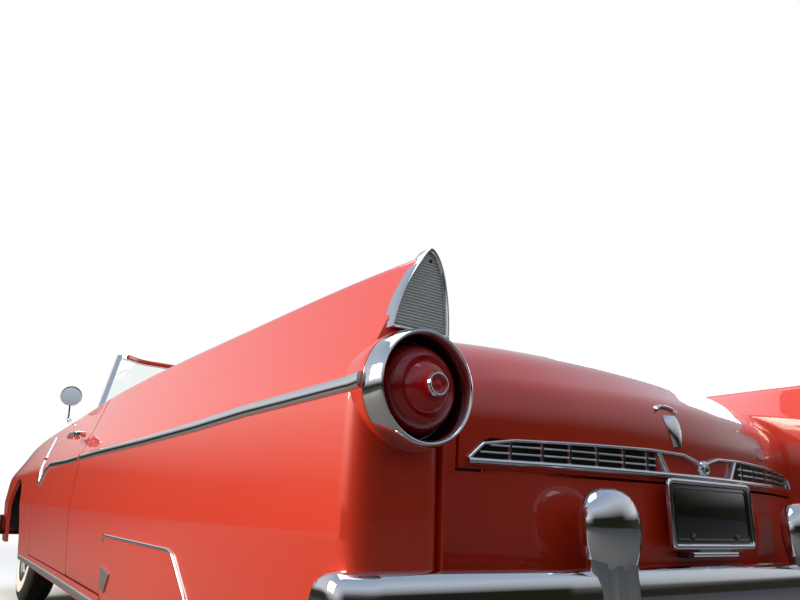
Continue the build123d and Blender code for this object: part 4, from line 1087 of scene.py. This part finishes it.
class CAR_OT_wheels(bpy.types.Operator):
    """Turns the tyres with their treads and white walls, the hub caps and the rim rings."""
    bl_idname = "car.wheels"
    bl_label = "Wheels and tyres"

    def execute(self, context):
        white = context.scene.car.whitewall_width
        for name in ("front_left", "front_right", "rear_left", "rear_right"):
            low, high = (Vector(corner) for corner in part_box("tyre_" + name))
            centre = (low + high) / 2
            side = 1 if centre.y > 0 else -1

            def spun(piece_name, profile, steps):
                return turned(f"{piece_name}_{name}", [mm(side * y, r) for y, r in profile],
                              tuple(centre), (0, 1, 0), steps)
            across = [(-62, 196), (-70, 202), (-79, 226), (-83.6, 262), (-83.8, 290), (-79, 316),
                      (-70, 334), (-63, 342), (-58, 346)]
            for groove in (-42, -21, 0, 21, 42):
                edge = 349.5 if abs(groove) > 30 else 350.8
                across += [(groove - 4, edge), (groove - 2.6, edge - 8), (groove + 2.6, edge - 8),
                           (groove + 4, edge)]
            across += [(-y, r) for y, r in reversed(across[:9])]
            rows = []
            for i in range(145):
                turn = 2 * pi * i / 144
                shift = 2.4 * (1 if i % 4 < 2 else -1)
                row = []
                for y, radius in across:
                    moved = y + shift if radius > 340 and abs(y) < 50 else y
                    row.append(centre + Vector(mm(radius * sin(turn), moved * side, radius * cos(turn))))
                row.append(row[0])
                rows.append(row)
            rows[-1] = rows[0]
            tyre = lofted("tyre_surface_" + name, rows)
            place(tyre, body_name("tyre_" + name), "tyre_rubber", smooth=35, replaces=("tyre_" + name,))
            outer = 286
            inner = outer - white * 1000
            band = [(80.5, inner - 2), (84.2, inner + 3), (85.0, inner + 14), (84.9, outer - 12),
                    (83.9, outer), (80, outer + 1)]
            place(spun("white_wall", band, 96), body_name("tyre_" + name), "white_rubber", smooth=50)
            cap = [(36, 0), (36, 128), (43, 131.5), (48, 130), (55, 124), (64, 112), (70.5, 98), (75, 84),
                   (78.5, 66), (79, 56), (82.5, 46), (84.5, 26), (85.5, 0)]
            place(spun("hub_cap", cap, 72), body_name("wheel_" + name), "chrome_plate", smooth=40)
            ring = [(60, 166), (66, 172), (71, 184), (74, 194), (76, 198), (72.5, 200), (68, 194),
                    (62, 180), (57, 168)]
            place(spun("rim_ring", ring, 72), body_name("wheel_" + name), "chrome_plate", smooth=50)
        return {"FINISHED"}


class CAR_OT_front(bpy.types.Operator):
    """Makes the wheel-bay aprons and shields, nose corners, lamps, grille mesh and hood strip."""
    bl_idname = "car.front"
    bl_label = "Front end"

    def execute(self, context):
        nose = 2.44
        apron = bevelled("inner_apron", mm(1046, 448, 500), mm(2330, 452, 940), 0.001, 1)
        both_sides(apron, "body", "chassis_black")
        shield_rows = []
        for i in range(12):
            z = 0.43 + 0.36 * i / 11
            reach = on_side("front_fender_left", 2.174, z).y - 0.005 - 0.452
            shield_rows.append([(2.174 - 0.02 * sin(pi * k / 8), 0.452 + reach * k / 8, z)
                                for k in range(9)])
        shield = lofted("splash_shield", shield_rows)
        modify(shield, "SOLIDIFY", thickness=0.003, offset=0)
        both_sides(shield, "body", "chassis_black", smooth=40)
        centre = (0, 0.765, 0.772)
        rim = [(-0.09, 0.093), (-0.09, 0.112), (0.002, 0.112), (0.010, 0.110), (0.014, 0.105),
               (0.010, 0.100), (-0.006, 0.092)]
        ring = turned("headlamp_ring", [(nose + x, r) for x, r in rim], centre, (1, 0, 0), 72)
        both_sides(ring, "body", "chrome_plate", smooth=45)
        lens = turned("headlamp_lens", [(nose - 0.088, 0), (nose - 0.088, 0.0925)]
                      + [(nose - 0.022 + 0.020 * sqrt(1 - (i / 10) ** 2), 0.0925 * i / 10)
                         for i in range(10, -1, -1)], centre, (1, 0, 0), 72)
        both_sides(lens, "body", "headlamp_glass", smooth=40, replaces=("headlamps",))
        wires = []
        for i in range(27):
            y = -0.52 + 0.04 * i
            wires.append(bevelled("wire", (2.338, y - 0.0015, 0.482), (2.341, y + 0.0015, 0.668),
                                  0.0008, 1))
        for i in range(5):
            z = 0.505 + 0.035 * i
            wires.append(bevelled("wire", (2.334, -0.556, z - 0.0015), (2.337, 0.556, z + 0.0015),
                                  0.0008, 1))
        place(joined("grille_mesh", *wires), "body", "chassis_black")
        corner_rows = []
        levels = [(2360, 400 + 15.9 * i) for i in range(17)] + [(2356, 658), (2347, 662), (2345, 668)]
        levels += [(2345, 700 + 25 * i) for i in range(8)]
        for x, z in levels:
            reach = on_side("front_fender_left", x / 1000, z / 1000).y - 0.004 - 0.588
            corner_rows.append([(x / 1000, 0.588 + reach * k / 12, z / 1000) for k in range(13)])
        corner = lofted("nose_corner", corner_rows)
        modify(corner, "SOLIDIFY", thickness=0.002, offset=0)
        both_sides(corner, "body", "enamel_paint", smooth=35)
        bezel = lathe("parking_lamp_ring", ((2359, 35), (2359, 43), (2367, 42), (2372, 39), (2371, 36),
                                            (2363, 35)), (0, 0.680, 0.575), (1, 0, 0), 40)
        both_sides(bezel, "body", "chrome_plate", smooth=45)
        lamp = lathe("parking_lamp", ((2359, 0), (2359, 36), (2371, 34), (2379, 24), (2383, 10),
                                      (2383.5, 0)), (0, 0.680, 0.575), (1, 0, 0), 40)
        hood_rear, hood_nose = 1.02, 2.40
        line = [touch("hood", (hood_rear + (hood_nose - hood_rear) * i / 40, 0.0, 1.6), (0, 0, -1))
                for i in range(41)]
        strip = swept("hood_strip", line, (0, 0, 1), crowned(0.022, 0.009))
        place(strip, "hood", "chrome_plate", smooth=50)
        place(lamp, "body", "amber_acrylic", smooth=40)
        twin = mirrored(lamp, "parking_lamp_right")
        place(twin, "body", "amber_acrylic", smooth=40)
        return {"FINISHED"}


def trilinear(corners, u, v, w):
    """A point of a block given by its eight corners."""
    c = [Vector(p) for p in corners]
    low = c[0].lerp(c[1], u).lerp(c[3].lerp(c[2], u), v)
    high = c[4].lerp(c[5], u).lerp(c[7].lerp(c[6], u), v)
    return low.lerp(high, w)


def shown_side(corners):
    """Origin, two axes and outward normal of the side that a padded block shows."""
    c = [Vector(p) for p in corners]
    u_axis, v_axis = c[5] - c[4], c[7] - c[4]
    normal = u_axis.cross(v_axis).normalized()
    if normal.dot(c[4] - c[0]) < 0:
        normal = -normal
    return c[4], u_axis, v_axis, normal


insert_left, insert_right, insert_low, insert_high = 0.05, 0.95, 0.10, 0.86


def insert_place(origin, u_axis, v_axis, point):
    """Shares across and up a padded block's shown side, or None outside its pleated insert."""
    offset = point - origin
    u = offset.dot(u_axis) / u_axis.length ** 2
    v = offset.dot(v_axis) / v_axis.length ** 2
    return (u, v) if insert_left < u < insert_right and insert_low < v < insert_high else None


def cushion(name, corners, pitch, grooves=True, voxel=0.014, cap=0.022):
    """A padded block between eight corners, swelled by cloth pressure, with pleats in its shown side.

    cap is the farthest that the cloth may move from the block.
    """
    bpy.ops.mesh.primitive_cube_add(size=1, location=(0, 0, 0))
    piece = bpy.context.object
    piece.name = name
    for vertex in piece.data.vertices:
        u, v, w = (c + 0.5 for c in vertex.co)
        vertex.co = trilinear(corners, 0.012 + 0.976 * u, 0.03 + 0.94 * v, 0.06 + 0.86 * w)
    modify(piece, "BEVEL", width=0.035, segments=4, limit_method="NONE")
    modify(piece, "REMESH", mode="VOXEL", voxel_size=voxel)
    rest = [v.co.copy() for v in piece.data.vertices]
    cloth = piece.modifiers.new("cloth", "CLOTH")
    cloth.settings.quality = 3
    cloth.settings.use_pressure = True
    cloth.settings.uniform_pressure_force = 4
    cloth.settings.effector_weights.gravity = 0
    scene = bpy.context.scene
    for step in range(1, 16):
        scene.frame_set(step)
    graph = bpy.context.evaluated_depsgraph_get()
    shape = piece.evaluated_get(graph).to_mesh()
    grown = [v.co.copy() for v in shape.vertices]
    piece.evaluated_get(graph).to_mesh_clear()
    piece.modifiers.remove(cloth)
    scene.frame_set(1)
    for vertex, start, end in zip(piece.data.vertices, rest, grown):
        move = end - start
        if move.length > cap:
            move *= cap / move.length
        vertex.co = start + move
    modify(piece, "SUBSURF", levels=1, render_levels=1)
    if grooves:
        origin, u_axis, v_axis, normal = shown_side(corners)
        count = max(2, round(u_axis.length / pitch))
        piece.data.update()
        for vertex in piece.data.vertices:
            spot = insert_place(origin, u_axis, v_axis, vertex.co)
            if spot and vertex.normal.dot(normal) >= 0.35:
                u, v = spot
                phase = abs(((u - insert_left) / 0.9 * count) % 1 - 0.5) * 2
                edge = min(1, (v - insert_low) / 0.05, (insert_high - v) / 0.05)
                vertex.co -= normal * (0.010 * max(0, phase - 0.55) / 0.45) * edge
                vertex.co += normal * 0.003 * (1 - phase) * edge
    return piece


class CAR_OT_seats(bpy.types.Operator):
    """Pads and pleats the benches and bundles the folded top under its boot."""
    bl_idname = "car.seats"
    bl_label = "Seats and top boot"

    def execute(self, context):
        pitch = context.scene.car.pleat_pitch

        def box(x0, x1, y0, y1, z0, z1):
            return mm_points([(x0, y0, z0), (x0, y1, z0), (x1, y1, z0), (x1, y0, z0),
                              (x0, y0, z1), (x0, y1, z1), (x1, y1, z1), (x1, y0, z1)])

        def back(low_y, high_y, low, high, thick_low, thick_high, x_low, x_high):
            return mm_points([
                (x_low, low_y, low), (x_low, high_y, low), (x_high, high_y, high), (x_high, low_y, high),
                (x_low + thick_low, low_y, low), (x_low + thick_low, high_y, low),
                (x_high + thick_high, high_y, high), (x_high + thick_high, low_y, high)])
        pieces = [
            ("front_cushion", box(-415, 128, -686, 686, 462, 605)),
            ("rear_cushion", box(-850, -484, -556, 556, 556, 686)),
            ("front_back_left", back(6, 686, 596, 1026, 146, 98, -418, -498)),
            ("front_back_right", back(-686, -6, 596, 1026, 146, 98, -418, -498)),
            ("rear_back", back(-680, 680, 690, 980, 150, 94, -856, -856)),
        ]
        seats = {"front_cushion": "front_seat", "rear_back": "rear_seat"}
        for name, corners in pieces:
            piece = cushion(name, corners, pitch)
            place(piece, "body", "seat_vinyl", "insert_vinyl", smooth=60)
            origin, u_axis, v_axis, normal = shown_side(corners)
            for face in piece.data.polygons:
                if face.normal.dot(normal) > 0.5 and insert_place(origin, u_axis, v_axis, face.center):
                    face.material_index = 1
            if name in seats:
                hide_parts(seats[name])
        base = bevelled("front_seat_base", mm(-380, -655, 342), mm(80, 655, 458), 0.012)
        cut(base, prism("tunnel_room", mm_points([(-500, 200), (200, 200), (200, 452), (-500, 452)]),
                        -0.136, 0.136, "Y"))
        place(base, "body", "chassis_black")
        boot = cushion("boot_cover", box(-1246, -868, -686, 686, 990, 1100), pitch, grooves=False,
                       cap=0.014)
        place(boot, "body", "boot_twill", smooth=60, replaces=("top_boot",))
        studs = []
        for i in range(13):
            y = -0.63 + 0.105 * i
            spot = touch("deck", (-1.258, y, 2), (0, 0, -1))
            studs.append(lathe("stud", ((-2, 0), (-2, 6.5), (1.5, 6), (3, 3.5), (3.4, 0)), tuple(spot),
                               (0, 0, 1), 14))
        place(joined("boot_studs", *studs), "body", "chrome_plate", smooth=40)
        return {"FINISHED"}


class CAR_OT_cabin(bpy.types.Operator):
    """Fits out the cabin: door cards, side trim, dials, controls and the inner side of the screen frame."""
    bl_idname = "car.cabin"
    bl_label = "Cabin"

    def execute(self, context):
        card_rows = []
        x0, x1, z0, z1, edge_round, pleat_pitch = -212, 760, 372, 962, 14, 54
        for i in range(97):
            x = x0 + (x1 - x0) * i / 96
            row = []
            for k in range(25):
                z = z0 + (z1 - z0) * k / 24
                pleat = 3.5 * abs(sin(pi * (x - x0) / pleat_pitch)) if 480 < z < 800 else 0
                edge = min(1, min(x - x0, x1 - x, z - z0, z1 - z) / edge_round)
                row.append(mm(x, door_inner_y - (4 + pleat) * max(edge, 0) ** 0.5, z))
            card_rows.append(row)
        card = lofted("door_card", card_rows)
        modify(card, "SOLIDIFY", thickness=0.003, offset=1)
        both_sides(card, "door_left", "insert_vinyl", smooth=40)
        rest = bevelled("arm_rest", mm(-120, 748, 690), mm(300, 800, 738), 0.018, 4)
        both_sides(rest, "door_left", "seat_vinyl", smooth=40)
        strip = bevelled("door_sill_trim", mm(-205, 797, 800), mm(755, 804, 818), 0.003)
        hub = lathe("hub", ((803, 0), (803, 16), (794, 14), (790, 0)), mm(420, 0, 640), (0, 1, 0), 24)
        arm = swept("arm", mm_points([(420, 792, 640), (380, 788, 620), (330, 786, 596)]), (0, -1, 0),
                    crowned(0.012, 0.004))
        knob = lathe("knob", ((788, 0), (788, 9), (768, 11), (764, 0)), mm(330, 0, 596), (0, 1, 0), 20)
        crank = joined("window_crank", hub, arm, knob)
        both_sides(joined("door_brightwork", strip, crank), "door_left", "chrome_plate", smooth=40)

        side = bevelled("rear_arm_rest", mm(-838, 566, 556), mm(-486, 800, 792), 0.03, 4)
        both_sides(side, "body", "insert_vinyl", smooth=40)
        liner = bevelled("rear_side_liner", mm(-872, 797, 430), mm(-246, 805, 1010), 0.003)
        both_sides(liner, "body", "seat_vinyl", smooth=40)

        dials = []
        dial_z = 905
        dial_places = ((370, 74), (222, 40), (518, 40))
        for y, radius in dial_places:
            ring = lathe("dial_ring", ((418, radius), (404, radius + 5), (394, radius + 6),
                                       (390, radius + 2), (398, radius - 2), (412, radius - 3)),
                         mm(0, y, dial_z), (1, 0, 0), 48)
            dials.append(ring)
        for y in (90, 30, -30, -90):
            dials.append(lathe("knob", ((430, 0), (430, 7), (392, 7), (390, 13), (376, 12), (374, 0)),
                               mm(0, y, 862), (1, 0, 0), 20))
        place(joined("dial_rings", *dials), "body", "chrome_plate", smooth=40)
        faces = [lathe("face", ((412, 0), (412, radius - 2), (405, radius - 2), (405, 0)),
                       mm(0, y, dial_z), (1, 0, 0), 48) for y, radius in dial_places]
        place(joined("dial_faces", *faces), "body", "dial_black")
        marks = []
        for i in range(13):
            turn = radians(-120 + 20 * i)
            y, z = 370 + 60 * sin(turn), dial_z + 60 * cos(turn)
            marks.append(bevelled("mark", mm(403.6, y - 1.2, z - 4), mm(404.6, y + 1.2, z + 4),
                                  0.0003, 1))
        marks.append(bevelled("needle", mm(402, 369, dial_z), mm(403, 371, dial_z + 50), 0.0003, 1))
        place(joined("dial_marks", *marks), "body", "dial_white")
        radio = bevelled("radio_face", mm(396, -110, 880), mm(404, 110, 930), 0.003)
        place(radio, "body", "brushed_aluminium")
        glove = bevelled("glovebox_lid", mm(398, -560, 850), mm(412, -220, 950), 0.006)
        place(glove, "body", "enamel_paint")

        centre = Vector(mm(120, 370, 960))
        tilt = radians(24)
        axis = Vector((-cos(tilt), 0, sin(tilt)))
        cap = lathe("horn_cap", ((16, 0), (16, 46), (24, 44), (30, 36), (33, 20), (34, 0)), tuple(centre),
                    tuple(axis), 48)
        across, upward = Vector((0, 1, 0)), axis.cross(Vector((0, 1, 0)))
        if upward.z < 0:
            upward = -upward
        ring_path = [centre + axis * 0.014 + across * 0.125 * cos(t) + upward * 0.125 * sin(t)
                     for t in [pi * (0.98 + 1.04 * i / 40) for i in range(41)]]
        horn = swept("horn_ring", ring_path, tuple(axis), round_section(0.0045))
        place(joined("horn_brightwork", cap, horn), "steering_wheel", "chrome_plate", smooth=40)
        lever_points = [centre - axis * 0.06, centre - axis * 0.065 + Vector(mm(0, -60, 20)),
                        centre - axis * 0.07 + Vector(mm(0, -170, 50))]
        lever = swept("shift_lever", [tuple(p) for p in curved([tuple(p) for p in lever_points], 8)],
                      (0, 0, 1), round_section(0.006))
        place(lever, "body", "chrome_plate", smooth=40)

        pedals = [bevelled("pedal", mm(x, y - 40, z), mm(x + 16, y + 40, z + 60), 0.008)
                  for x, y, z in ((700, 360, 400), (700, 230, 400))]
        gas = bevelled("gas_pedal", mm(715, 165, 350), mm(730, 205, 470), 0.006)
        place(joined("pedals", *pedals, gas), "body", "seal_rubber")
        scuff = bevelled("scuff_plate", mm(-212, 786, 338.5), mm(850, 860, 341.5), 0.001, 1)
        both_sides(scuff, "body", "brushed_aluminium")

        inner = []
        for i in range(61):
            turn = radians(-60 + 120 * i / 60)
            aim = Vector((cos(turn), sin(turn), 0))
            hit = touch("windshield_frame", Vector((0.30, 0, 1.437)), aim)
            inner.append(hit - aim * 0.0015)
        header = swept("header_liner", inner, lambda p: Vector((0.3 - p[0], -p[1], 0)),
                       [(-0.013, -0.001), (-0.013, 0.004), (-0.008, 0.007), (0.008, 0.007), (0.013, 0.004),
                        (0.013, -0.001), (-0.013, -0.001)])
        place(header, "body", "enamel_paint", smooth=40)
        mirror_arm = swept("cabin_mirror_arm", [mm(757, 0, 1430), mm(735, 0, 1400), mm(715, 0, 1380)],
                           (0, 1, 0), round_section(0.005))
        shell = bevelled("cabin_mirror_shell", mm(696, -105, 1350), mm(712, 105, 1392), 0.007, 4)
        place(joined("cabin_mirror", mirror_arm, shell), "body", "chrome_plate", smooth=40)
        return {"FINISHED"}


class CAR_OT_door_mirror(bpy.types.Operator):
    """Makes the round mirror on the left door."""
    bl_idname = "car.door_mirror"
    bl_label = "Door mirror"

    def execute(self, context):
        centre, tilt = mm(764, 872, 1190), radians(10)
        axis = (cos(tilt), 0, -sin(tilt))
        head = lathe("mirror_head", ((-3, 50), (-4, 55), (-1, 56.5), (4, 56), (12, 50), (19, 38),
                                     (23, 20), (24, 0), (0, 0), (0, 50)), centre, axis, 56)
        stalk_line = mm_points([(776, 862, 1062), (776, 863, 1100), (778, 866, 1140), (778, 870, 1160)])
        foot = swept("stalk", stalk_line, (0, 1, 0), round_section(0.007))
        base = lathe("base", ((1046, 0), (1046, 19), (1056, 18), (1064, 10), (1068, 7), (1068, 0)),
                     mm(776, 862, 0), (0, 0, 1), 32)
        place(joined("mirror_surface", head, foot, base), "door_left", "chrome_plate", smooth=40,
              replaces=("mirror",))
        glass = lathe("mirror_glass", ((-0.4, 0), (-0.4, 49.5), (-1.4, 49.5), (-2.2, 30), (-2.4, 0)),
                      centre, axis, 56)
        place(glass, "door_left", "silvered_glass", smooth=40)
        return {"FINISHED"}


# Stage
camera_place = (-3.309, 1.471, 0.640)
camera_yaw, camera_pitch, camera_roll = radians(34.88), radians(17.98), radians(2.21)
focal_in_widths = 649 / 800


def camera_axes():
    """Right, up and forward directions of the photograph's camera."""
    forward = Vector((cos(camera_yaw) * cos(camera_pitch), -sin(camera_yaw) * cos(camera_pitch),
                      sin(camera_pitch)))
    level = Vector((-sin(camera_yaw), -cos(camera_yaw), 0))
    upright = level.cross(forward)
    right = cos(camera_roll) * level + sin(camera_roll) * upright
    up = -sin(camera_roll) * level + cos(camera_roll) * upright
    return right, up, forward


class CAR_OT_stage(bpy.types.Operator):
    """Adds the floor, the studio light and the camera at the photograph's angle."""
    bl_idname = "car.stage"
    bl_label = "Stage and camera"

    def execute(self, context):
        right, up, forward = camera_axes()
        camera = bpy.data.objects.new("camera", bpy.data.cameras.new("camera"))
        context.collection.objects.link(camera)
        camera.matrix_world = Matrix((
            (right.x, up.x, -forward.x, camera_place[0]),
            (right.y, up.y, -forward.y, camera_place[1]),
            (right.z, up.z, -forward.z, camera_place[2]),
            (0, 0, 0, 1)))
        camera.data.sensor_width = 36
        camera.data.lens = 36 * focal_in_widths
        camera.data.clip_start = 0.05
        camera.data.clip_end = 200
        context.scene.camera = camera

        bpy.ops.mesh.primitive_plane_add(size=80, location=(0, 0, 0))
        floor = context.object
        floor.name = "floor"

        def ground(tree, coords):
            # Pale to the camera, and fading to plain white far off; a dull grey in what the car reflects
            seen = in_sight(tree)
            far = add_node(tree, "ShaderNodeVectorMath", {0: coords}, operation="LENGTH").outputs["Value"]
            fade = spread(tree, far, 0.0, 1.0, 3.6, 8.0)
            glow = calc(tree, "MULTIPLY", seen, fade)
            grey = blend(tree, seen, srgb("#6A6864"), srgb("#E4E4E3"))
            return {"Base Color": blend(tree, glow, grey, (0, 0, 0, 1)), "Emission Color": (1, 1, 1, 1),
                    "Emission Strength": glow}
        floor.data.materials.append(finish("plain_floor", {"Roughness": 0.95, "Specular IOR Level": 0.0},
                                           ground))

        # Soft boxes: (name, place, size, power, colour, aim)
        for name, spot, size, power, colour, aim in (
                ("left_softbox", (0.8, 7.0, 3.6), (5.5, 2.6), 760, "#FFF3E2", (-0.4, 0.8, 0.6)),
                ("top_softbox", (0.4, 0.6, 7.5), (8, 4), 260, "#EAF2FF", (0, 0, 0)),
                ("right_softbox", (1.2, -7.0, 3.2), (4, 2), 110, "#EAF2FF", (-1, 0, 0.6))):
            lamp = bpy.data.lights.new(name, "AREA")
            lamp.shape = "RECTANGLE"
            lamp.size, lamp.size_y = size
            lamp.energy = power
            lamp.color = srgb(colour)[:3]
            holder = bpy.data.objects.new(name, lamp)
            context.collection.objects.link(holder)
            holder.location = spot
            holder.rotation_euler = (Vector(aim) - Vector(spot)).to_track_quat("-Z", "Y").to_euler()

        # White to the camera; a sky that darkens behind the car and towards the ground in reflections
        world = bpy.data.worlds.new("studio")
        context.scene.world = world
        world.use_nodes = True
        tree = world.node_tree
        tree.nodes.clear()
        ray = add_node(tree, "ShaderNodeTexCoord").outputs["Generated"]
        xyz = xyz_of(tree, ray)
        sky = blend(tree, spread(tree, xyz["Z"], 0.0, 1.0, 0.10, 0.85), srgb("#F6F7F8"), srgb("#AFC0D8"))
        low = spread(tree, xyz["Z"], 0.0, 1.0, 0.05, 0.17)
        sky = blend(tree, low, srgb("#3B382F"), sky)
        behind = spread(tree, xyz["X"], 1.0, 0.0, -0.75, -0.25)
        height = spread(tree, xyz["Z"], 1.0, 0.0, 0.14, 0.55)
        sky = blend(tree, calc(tree, "MULTIPLY", behind, height), sky, srgb("#23251C"))
        sky = add_node(tree, "ShaderNodeBackground", {"Color": sky, "Strength": 0.8})
        seen = add_node(tree, "ShaderNodeBackground", {"Color": (1, 1, 1, 1), "Strength": 1.0})
        mixed = add_node(tree, "ShaderNodeMixShader", {0: in_sight(tree), 1: sky.outputs[0],
                                                       2: seen.outputs[0]})
        add_node(tree, "ShaderNodeOutputWorld", {"Surface": mixed.outputs[0]})
        context.scene.view_settings.view_transform = "Standard"
        return {"FINISHED"}


operators = (CAR_OT_painted_nodes, CAR_OT_rear_quarters, CAR_OT_deck, CAR_OT_tail_lamps, CAR_OT_rear_bumper,
             CAR_OT_side_trim, CAR_OT_deck_trim, CAR_OT_wheels, CAR_OT_front, CAR_OT_seats, CAR_OT_cabin,
             CAR_OT_door_mirror, CAR_OT_stage)


class CAR_PT_sidebar(bpy.types.Panel):
    """Lists the steps in the sidebar."""
    bl_idname = "CAR_PT_sidebar"
    bl_label = "Convertible"
    bl_space_type = "VIEW_3D"
    bl_region_type = "UI"
    bl_category = "Convertible"

    def draw(self, context):
        for field in ("body_colour", "seat_colour", "insert_colour", "boot_colour", "moulding_width",
                      "pleat_pitch", "whitewall_width"):
            self.layout.prop(context.scene.car, field)
        for operator in operators:
            self.layout.operator(operator.bl_idname)


def register():
    for item in (CarSettings, *operators, CAR_PT_sidebar):
        bpy.utils.register_class(item)
    bpy.types.Scene.car = bpy.props.PointerProperty(type=CarSettings)


def unregister():
    del bpy.types.Scene.car
    for item in reversed((CarSettings, *operators, CAR_PT_sidebar)):
        bpy.utils.unregister_class(item)


def main():
    register()
    make_materials(bpy.context.scene.car)
    for operator in operators:
        getattr(bpy.ops.car, operator.bl_idname.split(".")[1])()


if __name__ == "__main__":
    main()
